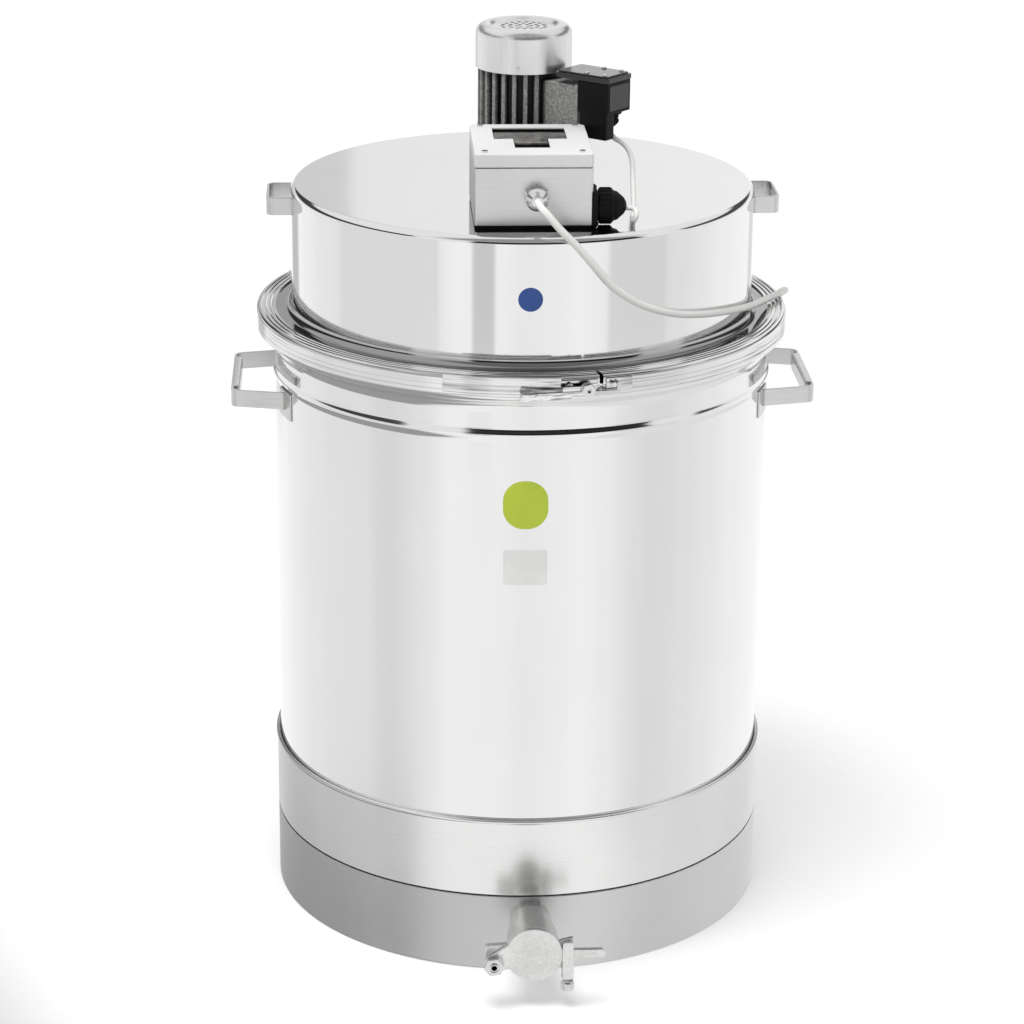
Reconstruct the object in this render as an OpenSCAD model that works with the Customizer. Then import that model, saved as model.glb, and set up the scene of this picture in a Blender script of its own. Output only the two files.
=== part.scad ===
/* [Tank] */
// Outside radius of the tank's outer shell
shell_r = 300; // [285:1:320]
// Thickness of the sheet metal of the tank, the lid and the bands
sheet = 2; // [1.5:0.1:2.5]
// Height of the tank's rim, where the lid's seal rests
rim_z = 738; // [720:1:780]
// How far the rim flares out past the shell
flare = 18; // [14:1:22]
// Height of the pressed bead below the rim, measured down from the rim
bead_drop = 65; // [62:1:75]
// How far the pressed bead stands out
bead_out = 2.4; // [1.5:0.1:3]
// Width of the water jacket between the shell and the inner vessel
jacket_gap = 16; // [14:1:20]
// Slope of the vessel's floor towards the outlet, in degrees
floor_slope = 4; // [3:0.5:4.5]
// How far the two base bands stand out past the shell
band_out = 4; // [3.5:0.1:5]
// Height of the lower base band
skirt_h = 96; // [95:1:100]
// Height of the upper base band
band_h = 98; // [90:1:120]

/* [Lid] */
// How far the lid's upright wall stands in from the tank's shell
lid_inset = 22; // [18:1:32]
// Height of the lid's flat top above the rim
lid_h = 160; // [140:1:200]
// Radius of the lid's rounded top edge
lid_round = 9; // [5:1:12]
// Thickness of the lid's rubber seal
seal_t = 6; // [5:0.5:8]
// Height of the clamp ring's wall
ring_h = 24; // [22:1:26]

/* [Handles] */
// Height of the strip that the handles are bent from
strip_h = 21; // [15:1:26]
// Thickness of the handle strip
strip_t = 3; // [2:0.5:4]
// How far the tank's handles reach out from the shell
handle_reach = 51; // [45:1:60]
// Half width of the tank's handles at the grip
handle_half = 78; // [60:1:85]
// How far the lid's handles reach out from the lid
lid_handle_reach = 28; // [26:1:35]
// Half width of the lid's handles
lid_handle_half = 40; // [36:1:60]

/* [Wiring hood] */
// Width of the hood in front of the motor
hood_w = 134; // [120:1:150]
// Distance of the hood's front face from the motor's axis
hood_front = 236; // [230:1:240]
// Length of the hood from front to back
hood_len = 156; // [140:1:160]
// Height of the hood with its cover
hood_h = 86; // [80:1:100]

/* [Drive] */
// Gear module
gear_m = 1; // [0.98:0.01:1.02]
// Teeth on each of the two pinions
pinion_teeth = 14; // [14:4:14]
// Teeth on each of the two wheels
wheel_teeth = 56; // [56:4:56]
// Radius of the stirrer's shaft
shaft_r = 8; // [7:0.5:9]
// Radius of the motor over its fins
fin_r = 54.5; // [52:0.5:58]
// Number of cooling fins round the motor
fin_n = 25; // [18:1:30]
// Radius of the motor's fan cowl
cowl_r = 57; // [56:0.5:60]
// Height of the fan cowl
cowl_h = 51; // [48:1:70]
// Reach of the stirrer's paddles from the shaft's axis
paddle_reach = 210; // [150:5:230]
// Height of the stirrer's lower end above the ground
stirrer_z = 215; // [210:1:300]

/* [Outlet] */
// Inside radius of the outlet pipe
pipe_bore = 22; // [18:1:23]
// Height of the outlet pipe's axis
outlet_z = 68; // [66:0.5:69]
// Radius of the gate's disc
gate_r = 33; // [31:0.5:36]

/* [Hidden] */
$fn = 96;

// Running clearance of a shaft in its bore, and the gap between surfaces of different bodies
fit = 0.05;
gap = 0.3;

// Tank, derived
shell_in = shell_r - sheet;
vessel_out = shell_in - jacket_gap;
vessel_in = vessel_out - sheet;
band_r = shell_r + band_out;
band_in = band_r - sheet;
seam = 2;
band_z = skirt_h + seam;
band_top = band_z + band_h;
band_roll = 2.6;
band_roll_r = shell_r + band_roll + gap;
floor_front = outlet_z - pipe_bore - 3 * sheet;
floor_seam = floor_front + 65;
bead_z = rim_z - bead_drop;
bead_half = 7;
flare_r = shell_r + flare;
flare_h = 30;
flare_z = rim_z - 8 - flare_h;
arc_steps = 6;

// Lid, derived
seal_z = rim_z + 0.2;
flange_z = rim_z + seal_t;
flange_t = 2.5;
lid_r = shell_r - lid_inset;
flange_r = shell_r + 3;
foot_r = 10;
lid_z = rim_z + lid_h;
lip_z = flange_z + flange_t + 0.2;
ring_r = flare_r + 0.5;
ring_t = 2;
ring_out = ring_r + ring_t;
ring_top = lip_z + ring_t;

// Latch, seen from the front: distances along the ring from the pivot, then up
latch_turn = 10;
latch_z = rim_z - 2;
latch_arm = 19;
latch_rise = 1.5;
catch_x = 31.6;
catch_rise = 2.5;
lug_t = 2.5;
lug_r = ring_out + lug_t;
link_y = lug_r + 1.5;
link_t = 2.5;
lever_y = link_y + link_t + 1;
lever_t = 3;
lever_len = 78;
pin_r = 3;
split_a = 13.3;

// Gearbox and motor, derived
centre = gear_m * (pinion_teeth + wheel_teeth) / 2;
box_z = lid_z;
box_floor = box_z + 16;
box_split = box_z + 36;
flange_face = box_z + 62;
out_gear_z = box_z + 22;
lay_gear_z = box_z + 46;
gear_w = 8;
box_r = gear_m * wheel_teeth / 2 + 8;
cave_r = gear_m * wheel_teeth / 2 + 3;
lay_r = 4;
rotor_r = 5;
shaft_top = box_split + 2;
motor_z = flange_face;
fin_z = motor_z + 8;
fin_top = motor_z + 79;
cowl_z = fin_top - 2;
cowl_top = cowl_z + cowl_h;
core_r = 26;
core_z = motor_z + 16;
core_h = 44;
housing_r = fin_r - 8.5;
housing_in = housing_r - 6;

// Terminal box on the motor, turned to the front right
term_turn = -40;
term_in = 96;
term_out = 139;
term_half = 25;
term_z = box_z + 107;
term_h = 31;
saddle_top = term_z + term_h - 7;
term_lid = 8;
term_gland = [122, 8];
term_gland_h = 17;

// Wiring hood, derived
hood_x = hood_w / 2;
hood_back = hood_front - hood_len;
gasket_h = 4;
hood_z = lid_z + gasket_h;
hood_top = lid_z + hood_h;
cover_h = 16;
cover_z = hood_top - cover_h;
slot_half = 42;
slot_neck = 20;
slot_front = hood_front - 78;
slot_rear = hood_back + 20;
neck_front = hood_front - 33;
rail_half = slot_half - 1;
rail_neck = slot_neck - 1;
rail_front = neck_front - 20;
rail_rear = slot_rear + 15;
gland_x = 3;
gland_z = lid_z + 37;
plug_y = -216;
plug_z = lid_z + 19;
plug_r = 21;

// Outlet valve, derived
pipe_out = pipe_bore + sheet;
face_y = -shell_r - 92;
gate_y = face_y - 1.2;
gate_t = 6;
pivot_x = -47;
pivot_z = outlet_z - 11;
clamp_x = 39.5;
clamp_half = 6.5;
clamp_low = outlet_z - 34;
clamp_high = outlet_z + 18;
tab_low = outlet_z - 8;
tab_high = outlet_z + 6;

// Control box at the back of the base
case_x = 90;
case_low = 10;
case_high = 184;
case_back = shell_r + 92;
case_front = shell_r - 100;
case_fit = 0.2;
dial_x = 40;
dial_z = 120;
switch_x = -42;
socket_x = 50;
socket_y = shell_r + 50;
heater_z = 43;
element_z = 32;
element_r = 4.25;
loop_r = 180;

// Water fittings at the back left
water_turn = 135;
neck_x = shell_r + 30;
neck_z = 600;
neck_bore = 12;
neck_top = 650;
cock_z = 24;
cock_x = band_r + 17;

// Points of the cable from the wiring hood to the control box
lid_cable_r = 4.3;
lid_cable_pts = [[3, -260, 935], [3.5, -268, 934.5], [7, -276, 931], [15, -281.5, 923],
    [28, -282.5, 908], [43.5, -280.5, 892], [61, -277, 872], [73, -274, 857.5],
    [87, -270, 841], [102, -264.5, 828], [121, -256.5, 815], [145, -244, 803.5],
    [169, -228, 795], [195, -206, 788.5], [222, -177, 782.5], [246, -142, 776],
    [266, -102, 768.5], [283, -58, 760.5], [297, -24, 755.5], [310, -2, 754.2],
    [321, 20, 753], [328, 45, 747], [325, 73, 734], [316, 101, 715], [303, 128, 692],
    [286, 154, 664], [270, 179.5, 631], [252, 204, 592], [232, 226, 548], [210.5, 246.5, 500],
    [185.5, 265.5, 452], [156.5, 283.5, 407], [125, 300, 367], [97, 321, 333], [74, 337, 306],
    [58, 346, 283], [51, 349.5, 268], [50, 350, 258]];
// Points of the cable from the motor's terminal box to the hood
motor_cable_r = 3;
motor_cable_pts = [[98.6, -72.3, 978], [99.4, -72.6, 971], [103.5, -74.5, 965.5],
    [110, -77, 962], [116.5, -80.5, 957], [121, -85, 950], [123.2, -91, 941],
    [123.4, -98, 931], [123, -109, 921], [122, -126, 911], [120.5, -150, 904.5],
    [118, -178, 902.6], [115, -203, 902.6], [113.5, -221, 903.5], [114.5, -231, 906.5],
    [116, -234, 912], [116, -230, 917], [113, -221, 918], [106, -216, 917]];

// Points on an arc in the plane of a profile
function arc(x, y, r, a0, a1, n) =
    [for (i = [0 : n]) [x + r * cos(a0 + (a1 - a0) * i / n), y + r * sin(a0 + (a1 - a0) * i / n)]];

// The rim's flare: two arcs that leave the shell upright and end upright
half_x = flare / 2;
half_z = flare_h / 2;
flare_arc = (half_x * half_x + half_z * half_z) / flare;
flare_a = asin(half_z / flare_arc);
function flare_curve(inset) = concat(
    arc(shell_r + flare_arc - inset, flare_z, flare_arc, 180, 180 - flare_a, arc_steps),
    arc(flare_r - flare_arc - inset, flare_z + flare_h, flare_arc, -flare_a, 0, arc_steps));
bead_arc = (bead_half * bead_half + bead_out * bead_out) / (2 * bead_out);
bead_a = asin(bead_half / bead_arc);
function bead_curve() = arc(shell_r + bead_out - bead_arc, bead_z, bead_arc, -bead_a, bead_a, 8);

// Tube that follows points, as one closed mesh with rings of even spacing
tube_sides = 10;
function hermite(p, i, t) = let(
        a = p[max(i - 1, 0)], b = p[i], c = p[i + 1], d = p[min(i + 2, len(p) - 1)],
        m0 = (c - a) / 2, m1 = (d - b) / 2, t2 = t * t, t3 = t2 * t)
    (2 * t3 - 3 * t2 + 1) * b + (t3 - 2 * t2 + t) * m0 + (3 * t2 - 2 * t3) * c + (t3 - t2) * m1;
function unit(v) = v / norm(v);
function smooth(p, per) = concat(
    [for (i = [0 : len(p) - 2]) for (k = [0 : per - 1]) hermite(p, i, k / per)], [p[len(p) - 1]]);
function turned(u, t) = unit(u - (u * t) * t);
function frames(c, i, u) = i >= len(c) ? [] :
    let(t = unit(c[min(i + 1, len(c) - 1)] - c[max(i - 1, 0)]), v = turned(u, t))
    concat([[v, cross(t, v)]], frames(c, i + 1, v));
module tube(pts, r, per, start) {
    c = smooth(pts, per);
    f = frames(c, 0, start);
    n = len(c);
    s = tube_sides;
    rings = [for (i = [0 : n - 1]) for (k = [0 : s - 1])
        c[i] + r * (cos(360 * k / s) * f[i][0] + sin(360 * k / s) * f[i][1])];
    sides = [for (i = [0 : n - 2]) for (k = [0 : s - 1])
        for (h = [0, 1]) h == 0
            ? [i * s + k, (i + 1) * s + (k + 1) % s, i * s + (k + 1) % s]
            : [i * s + k, (i + 1) * s + k, (i + 1) * s + (k + 1) % s]];
    first = [for (k = [1 : s - 2]) [0, k, k + 1]];
    last = [for (k = [1 : s - 2]) [(n - 1) * s, (n - 1) * s + k + 1, (n - 1) * s + k]];
    polyhedron(points = rings, faces = concat(sides, first, last));
}

// Small shapes that repeat
module ring(r_out, r_in, z, h) {
    translate([0, 0, z]) difference() {
        cylinder(r = r_out, h = h);
        translate([0, 0, -1]) cylinder(r = r_in, h = h + 2);
    }
}
module along_y(x, y, z, r, h) {
    translate([x, y, z]) rotate([90, 0, 0]) cylinder(r = r, h = h);
}
module along_x(x, y, z, r, h) {
    translate([x, y, z]) rotate([0, 90, 0]) cylinder(r = r, h = h);
}
module block(x0, x1, y0, y1, z0, z1) {
    translate([x0, y0, z0]) cube([x1 - x0, y1 - y0, z1 - z0]);
}
module hexagon(r, h) {
    cylinder(r = r, h = h, $fn = 6);
}
module round_rect(x0, x1, y0, y1, r) {
    translate([x0 + r, y0]) square([x1 - x0 - 2 * r, y1 - y0]);
    translate([x0, y0 + r]) square([x1 - x0, y1 - y0 - 2 * r]);
    for (x = [x0 + r, x1 - r]) for (y = [y0 + r, y1 - r]) translate([x, y]) circle(r = r);
}
// A screw with a round slotted head, head upwards, seated at the origin
module screw(r, head_r, head_h, length) {
    translate([0, 0, -length]) cylinder(r = r, h = length);
    difference() {
        cylinder(r = head_r, h = head_h);
        translate([-head_r - 1, -0.5, head_h / 2]) cube([2 * head_r + 2, 1, head_h]);
    }
}

// Involute gear outline with a little play, with one tooth on the X axis
pressure = 20;
tooth_tip = 0.8;
tooth_root = 1.1;
tooth_play = 0.06;
flank_steps = 3;
function inv_deg(a) = (tan(a) - a * PI / 180) * 180 / PI;
function half_tooth(n, r) = let(pr = gear_m * n / 2, base = pr * cos(pressure))
    90 / n - tooth_play / pr * 180 / PI + inv_deg(pressure) - inv_deg(acos(min(1, base / max(r, base))));
function flank_radii(n) = let(pr = gear_m * n / 2, low = pr - gear_m * tooth_root,
        tip = pr + gear_m * tooth_tip, start = max(low, pr * cos(pressure)))
    concat(low < start ? [low] : [], [for (i = [0 : flank_steps]) start + (tip - start) * i / flank_steps]);
function gear_points(n) = let(rr = flank_radii(n), m = len(rr))
    [for (t = [0 : n - 1]) for (i = [0 : 2 * m - 1])
        let(r = i < m ? rr[i] : rr[2 * m - 1 - i], h = half_tooth(n, r), s = i < m ? -1 : 1,
            a = 360 * t / n + s * h) r * [cos(a), sin(a)]];
module gear(n, z, h) {
    translate([0, 0, z]) linear_extrude(h) polygon(gear_points(n));
}

// Tank

module base_pan() color("silver") {
    difference() {
        union() {
            cylinder(r = band_in, h = sheet);
            ring(band_r, band_in, 0, skirt_h);
        }
        along_y(0, 0, outlet_z, pipe_out + gap, band_r + 1);
        along_y(0, band_r + 1, heater_z, 31, band_r);
        rotate([0, 0, water_turn]) along_x(0, 0, cock_z, 8 + gap, band_r + 1);
    }
}

module base_band() color("silver") {
    rotate_extrude() {
        translate([band_in, band_z]) square([sheet, band_h - band_roll]);
        translate([shell_r + gap, band_z]) square([band_out - gap, sheet]);
        translate([band_roll_r, band_top - band_roll]) circle(r = band_roll);
    }
}

module outer_shell() color("gainsboro") {
    difference() {
        union() {
            rotate_extrude() polygon(concat([[shell_in, sheet], [shell_r, sheet]], bead_curve(),
                flare_curve(0), [[flare_r, rim_z], [flare_r - sheet, rim_z]],
                [for (i = [2 * arc_steps + 1 : -1 : 0]) flare_curve(sheet)[i]]));
            intersection() {
                along_y(0, shell_r + 6, heater_z, 30, 20);
                difference() {
                    cylinder(r = shell_r + 20, h = 120);
                    translate([0, 0, -1]) cylinder(r = shell_in, h = 122);
                }
            }
        }
        along_y(0, 0, outlet_z, pipe_out, shell_r + 1);
        for (x = [-18, 18]) along_y(x, shell_r + 7, element_z, element_r + 1, 40);
        rotate([0, 0, water_turn]) {
            along_x(shell_in - 5, 0, neck_z, neck_bore + sheet, 20);
            along_x(shell_in - 5, 0, cock_z, 8, 20);
        }
    }
}

// Everything above the sloped floor, whose front edge is at z
module above_floor(z) {
    translate([0, -vessel_in, z]) rotate([floor_slope, 0, 0])
        translate([-shell_r, -40, 0]) cube([2 * shell_r, 3 * shell_r, 2 * rim_z]);
}

module inner_vessel() color("whitesmoke") {
    ring(vessel_out, vessel_in, floor_seam, rim_z - floor_seam);
}

module vessel_floor() color("whitesmoke") difference() {
    intersection() {
        cylinder(r = vessel_out, h = floor_seam);
        above_floor(floor_front);
    }
    intersection() {
        cylinder(r = vessel_in, h = floor_seam + 1);
        above_floor(floor_front + sheet);
    }
    along_y(0, -vessel_in + 20, outlet_z, pipe_out, 40);
}

module rim_ring() color("silver") {
    ring(flare_r - sheet, vessel_out, rim_z - 3, 3);
}

module immersion_heater() color("dimgray") {
    leg_x = 18;
    turn = asin(leg_x / loop_r);
    leg_y = loop_r * cos(turn);
    translate([0, 0, element_z]) {
        rotate([0, 0, 90 + turn]) rotate_extrude(angle = 360 - 2 * turn)
            translate([loop_r, 0]) circle(r = element_r);
        for (x = [-leg_x, leg_x]) translate([x, leg_y, 0]) sphere(r = element_r + 1);
    }
    for (x = [-leg_x, leg_x]) along_y(x, shell_r + 20, element_z, element_r, shell_r + 20 - leg_y);
    along_y(0, shell_r + 12, heater_z, 29, 6);
    for (x = [-leg_x, leg_x]) along_y(x, shell_r + 26, element_z, 2, 6);
    for (a = [45 : 90 : 315]) translate([23 * cos(a), shell_r + 12, heater_z + 23 * sin(a)])
        rotate([-90, 0, 0]) hexagon(4.6, 4);
}

module outlet_pipe() color("silver") {
    difference() {
        along_y(0, -vessel_in + 4, outlet_z, pipe_out, -vessel_in + 4 - face_y - 4);
        along_y(0, -vessel_in + 5, outlet_z, pipe_bore, -vessel_in + 6 - face_y);
    }
}

module outlet_strainer() color("lightgray") {
    r = vessel_in - 18;
    low = floor_front + sheet + 3;
    difference() {
        translate([0, 0, low]) rotate([0, 0, 270 - 14]) rotate_extrude(angle = 28) {
            translate([r, 0]) square([1.5, 96]);
            translate([r, 94]) square([18 - gap, 2]);
        }
        for (i = [-5 : 5]) for (k = [0 : 7]) rotate([0, 0, 2.3 * i])
            along_y(0, -r + 3, low + 10 + 10 * k, 3, 8);
    }
    for (s = [-1, 1]) rotate([0, 0, 14 * s])
        block(-2, 2, -vessel_in + gap + 1, -r + 0.5, low - 1, low + 97);
}

module valve_body() color("gainsboro") {
    collar_y = face_y + 40;
    difference() {
        union() {
            along_y(0, collar_y, outlet_z, 30, 28);
            along_y(0, collar_y - 28, outlet_z, pipe_out + 2, 10);
            along_y(0, face_y + 7, outlet_z, gate_r, 7);
            block(pivot_x - 11, -gate_r + 8, face_y, face_y + 12, outlet_z - 2, outlet_z + 9);
            along_y(pivot_x, face_y + 8, pivot_z, 10, 8);
            block(pivot_x - 10, pivot_x + 10, face_y, face_y + 8, pivot_z, outlet_z);
            block(gate_r - 6, clamp_x - clamp_half, face_y, face_y + 7, clamp_low + 14, clamp_high - 6);
            block(clamp_x - clamp_half, clamp_x + clamp_half, face_y + 0.4, face_y + 7,
                clamp_low, clamp_high);
            block(clamp_x - clamp_half, clamp_x + clamp_half, face_y - 12, face_y + 7,
                clamp_low, clamp_low + 5);
            block(clamp_x - clamp_half, clamp_x + clamp_half, face_y - 12, face_y - 8.6,
                clamp_low, clamp_high);
        }
        along_y(0, collar_y + 1, outlet_z, pipe_out, 37);
        along_y(0, face_y + 6, outlet_z, pipe_bore, 8);
        along_y(pivot_x, face_y + 9, pivot_z, 4, 12);
        translate([clamp_x, gate_y - gate_t / 2, clamp_low - 1]) cylinder(r = 3 + fit, h = 7);
    }
}

module valve_seal() color("black") {
    difference() {
        along_y(0, face_y, outlet_z, pipe_bore + 6, 1);
        along_y(0, face_y + 1, outlet_z, pipe_bore + 0.5, 3);
    }
}

module gate_pivot() color("silver") {
    head_y = gate_y - gate_t - 0.4;
    along_y(pivot_x, face_y + 8, pivot_z, 4, face_y + 8 - head_y);
    translate([pivot_x, head_y, pivot_z]) rotate([90, 0, 0]) {
        cylinder(r = 12, h = 1.4);
        translate([0, 0, 1.4]) difference() {
            intersection() {
                hexagon(12.2, 7);
                cylinder(r = 11.8, h = 7);
            }
            translate([0, 0, 5.5]) cylinder(r = 6.4, h = 3);
        }
        cylinder(r = 4.6, h = 9.6);
    }
}

// A handle bent from strip, standing out along +X, with two curved pads
module tank_handle() {
    z = bead_z - 11 - strip_h;
    grip = shell_r + handle_reach;
    bend = 12;
    grip_t = 10;
    foot = handle_half + 15;
    foot_x = sqrt(shell_r * shell_r - foot * foot) + 1;
    leg_x = grip - bend;
    splay = atan2(foot - handle_half, leg_x - foot_x);
    leg = norm([leg_x - foot_x, foot - handle_half]);
    translate([0, 0, z]) linear_extrude(strip_h) {
        translate([grip - strip_t, -handle_half + bend]) square([strip_t, 2 * handle_half - 2 * bend]);
        round_rect(grip - grip_t, grip, bend + 4 - handle_half, handle_half - bend - 4, 3);
        for (s = [-1, 1]) scale([1, s]) {
            translate([grip - bend, handle_half - bend]) intersection() {
                difference() {
                    circle(r = bend);
                    circle(r = bend - strip_t);
                }
                rotate(0) square(bend + 1);
            }
            translate([leg_x, handle_half]) rotate(180 - splay) square([leg - 1, strip_t]);
            translate([leg_x, handle_half - strip_t / 2]) circle(r = strip_t / 2);
        }
    }
    pad_a = asin(foot / shell_r);
    for (s = [-1, 1]) rotate([0, 0, s * pad_a - 4]) translate([0, 0, z - 9])
        rotate_extrude(angle = 8) translate([shell_r + 0.1, 0]) square([sheet, strip_h + 12]);
}

module tank_handles() color("silver") {
    tank_handle();
    mirror([1, 0, 0]) tank_handle();
}

module control_case() color("lightgray") {
    difference() {
        block(-case_x, case_x, case_front, case_back, case_low, case_high);
        block(-case_x + sheet, case_x - sheet, case_front - 1, case_back + 1,
            case_low + sheet, case_high - sheet);
        translate([0, 0, -1]) cylinder(r = band_r + case_fit, h = rim_z);
        translate([socket_x, socket_y, case_high - 10]) cylinder(r = 16, h = 20);
        socket_screw_places() translate([0, 0, -10]) cylinder(r = 1.5, h = 12);
        along_x(-case_x - 5, socket_y, 50, 8, 12);
    }
    cover_screw_places() difference() {
        translate([-6, -6, -2 * sheet]) cube([12, 12, sheet]);
        translate([0, 0, -3 * sheet]) cylinder(r = 2, h = 4 * sheet);
    }
}

module control_cover() color("lightgray") {
    difference() {
        block(-case_x, case_x, case_back, case_back + sheet, case_low, case_high);
        along_y(dial_x, case_back + sheet + 1, dial_z, 5, sheet + 2);
        block(switch_x - 11, switch_x + 11, case_back - 1, case_back + sheet + 1, dial_z - 15, dial_z + 15);
        for (x = [switch_x - 12, switch_x + 12])
            along_y(x, case_back + sheet + 1, dial_z + 36, 5, sheet + 2);
        cover_screw_places() translate([0, 0, -5]) cylinder(r = 2, h = 10);
    }
}

module thermostat() color("dimgray") {
    block(dial_x - 18, dial_x + 18, case_back - 32, case_back - gap, dial_z - 20, dial_z + 20);
    along_y(dial_x, case_back + 14, dial_z, 3, 20);
}

module main_switch() color("black") {
    difference() {
        union() {
            block(switch_x - 10.5, switch_x + 10.5, case_back - 24, case_back + sheet,
                dial_z - 14.5, dial_z + 14.5);
            block(switch_x - 13, switch_x + 13, case_back + sheet, case_back + sheet + 2,
                dial_z - 17, dial_z + 17);
        }
        block(switch_x - 8, switch_x + 8, case_back - 12, case_back + 10, dial_z - 12, dial_z + 12);
    }
    for (s = [-1, 1]) along_x(s > 0 ? switch_x + 6.2 : switch_x - 8, case_back, dial_z, 1.5, 1.8);
}

module switch_rocker() color("black") {
    difference() {
        translate([switch_x, case_back, dial_z]) rotate([0, 90, 0]) translate([0, 0, -7.7])
            linear_extrude(15.4)
                polygon([[-10, 3], [-10, 6], [0, 4.5], [10, 8.5], [10, 4], [4, -6], [-4, -6]]);
        for (s = [-1, 1]) along_x(s > 0 ? switch_x + 6.1 : switch_x - 8, case_back, dial_z, 1.55, 2);
    }
}

module pilot_lamps() {
    for (s = [-1, 1]) color(s < 0 ? "limegreen" : "orange")
        translate([switch_x + 12 * s, case_back - 14, dial_z + 36]) rotate([-90, 0, 0]) {
            cylinder(r = 4.8, h = 14 + sheet);
            translate([0, 0, 14 + sheet]) cylinder(r = 7, h = 2);
            translate([0, 0, 16 + sheet]) cylinder(r1 = 5.5, r2 = 4, h = 3);
        }
}

// A cable gland that points up, with its face at the origin
module gland(r, bore, length) {
    difference() {
        union() {
            translate([0, 0, -6]) cylinder(r = r - 2.5, h = 7);
            hexagon(r * 1.08, 5);
            translate([0, 0, 5]) cylinder(r = r - 1, h = length * 0.45);
            translate([0, 0, 5 + length * 0.45]) cylinder(r1 = r - 1, r2 = bore + 2, h = length * 0.55 - 5);
        }
        translate([0, 0, -7]) cylinder(r = bore, h = length + 8);
    }
}

module mains_gland() color("dimgray") translate([-case_x, socket_y, 50]) rotate([0, -90, 0]) gland(10, 4, 22);

module lid_socket() color("black") {
    translate([socket_x, socket_y, case_high]) difference() {
        union() {
            translate([0, 0, -30]) cylinder(r = 15.5, h = 30);
            translate([-21, -21, 0]) cube([42, 42, 3]);
            cylinder(r = 18, h = 20);
        }
        translate([0, 0, -12]) cylinder(r = 14, h = 40);
        for (s = [-1, 1]) translate([7 * s, 0, -25]) cylinder(r = 2.2, h = 20);
        for (x = [-1, 1]) for (y = [-1, 1]) translate([18 * x, 18 * y, -1]) cylinder(r = 1.5, h = 5);
    }
}

// Places of the screws that hold the control box's cover, and of those round the socket
module cover_screw_places() {
    for (x = [-1, 1]) for (z = [case_low + 9, case_high - 9])
        translate([x * (case_x - 8), case_back + sheet, z]) rotate([-90, 0, 0]) children();
}
module socket_screw_places() {
    for (x = [-1, 1]) for (y = [-1, 1])
        translate([socket_x + 18 * x, socket_y + 18 * y, case_high + 3]) children();
}

module tank_screws() color("silver") {
    cover_screw_places() screw(1.9, 3.6, 2, 2 * sheet);
    socket_screw_places() screw(1.4, 2.4, 1.6, 3 + sheet);
}

module fill_neck() color("silver") rotate([0, 0, water_turn]) difference() {
    union() {
        along_x(shell_in + 1, 0, neck_z, neck_bore + sheet, neck_x - shell_in - 1);
        translate([neck_x, 0, neck_z - 16]) cylinder(r = neck_bore + sheet, h = neck_top - neck_z + 16);
    }
    along_x(shell_in, 0, neck_z, neck_bore, neck_x - shell_in);
    translate([neck_x, 0, neck_z - 14]) cylinder(r = neck_bore, h = neck_top - neck_z + 20);
}

module fill_cap() color("dimgray") rotate([0, 0, water_turn]) translate([neck_x, 0, neck_top - 16])
    difference() {
        union() {
            cylinder(r = neck_bore + sheet + 3.3, h = 20);
            for (a = [0 : 30 : 330]) rotate([0, 0, a])
                translate([neck_bore + sheet + 3.3, 0, 1]) cylinder(r = 1.2, h = 17);
        }
        translate([0, 0, -1]) cylinder(r = neck_bore + sheet + gap, h = 17.3);
    }

module drain_cock() color("goldenrod") rotate([0, 0, water_turn]) difference() {
    union() {
        along_x(shell_in + 1, 0, cock_z, 8, 20);
        along_x(band_r + 6, 0, cock_z, 12, 22);
        along_x(band_r + 28, 0, cock_z, 7, 20);
        translate([cock_x, 0, cock_z]) cylinder(r = 6, h = 17);
    }
    along_x(shell_in, 0, cock_z, 4.5, 70);
    translate([cock_x, 0, cock_z + 8]) cylinder(r = 3 + fit, h = 20);
}

module drain_lever() color("firebrick") rotate([0, 0, water_turn]) translate([cock_x, 0, 0]) {
    translate([0, 0, cock_z + 8.3]) cylinder(r = 3, h = 13.7);
    translate([0, 0, cock_z + 17.3]) linear_extrude(4) {
        circle(r = 6);
        translate([-3.5, -38]) square([7, 38]);
        translate([0, -38]) circle(r = 3.5);
    }
}

// Lid

module lid_shell() color("whitesmoke") difference() {
    rotate_extrude() polygon(concat(
        [[12, lid_z]],
        arc(lid_r - lid_round, lid_z - lid_round, lid_round, 90, 0, arc_steps),
        arc(lid_r + foot_r, flange_z + flange_t + foot_r, foot_r, 180, 270, arc_steps),
        [[flange_r, flange_z + flange_t], [flange_r, flange_z]],
        arc(lid_r + foot_r, flange_z + flange_t + foot_r, foot_r + flange_t, 270, 180, arc_steps),
        arc(lid_r - lid_round, lid_z - lid_round, lid_round - sheet, 0, 90, arc_steps),
        [[12, lid_z - sheet]]));
    base_bolt_places() translate([0, 0, -20]) cylinder(r = 3, h = 25);
}

module lid_seal() color("black") ring(vessel_out + 18, vessel_out + 2, seal_z, flange_z - seal_z);

// The clamp ring, split at the latch, with a lug welded on each side of the split
module clamp_ring() color("silver") {
    front = -90;
    rotate([0, 0, front + split_a + 0.4]) rotate_extrude(angle = 359.2) {
        translate([ring_r, ring_top - ring_h]) square([ring_t, ring_h]);
        translate([flange_r - 5, lip_z]) square([ring_r - flange_r + 6, ring_t]);
    }
    rotate([0, 0, front - 19]) rotate_extrude(angle = 24)
        translate([ring_out - 0.5, ring_top - 20]) square([lug_t + 0.5, 20]);
    rotate([0, 0, front + 4.5]) rotate_extrude(angle = 7.9)
        translate([ring_out - 0.5, latch_z - 6]) square([lug_t + 0.5, 15]);
    rotate([0, 0, front + 14.2]) rotate_extrude(angle = 5.6)
        translate([ring_out - 0.5, latch_z - 5]) square([lug_t + 0.5, 14]);
}

// Places a shape drawn in the latch's plane: X to the right, Y up, Z towards the user
module latch_plane(depth) {
    rotate([0, 0, latch_turn]) translate([0, -depth, latch_z]) rotate([90, 0, 0]) children();
}

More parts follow.
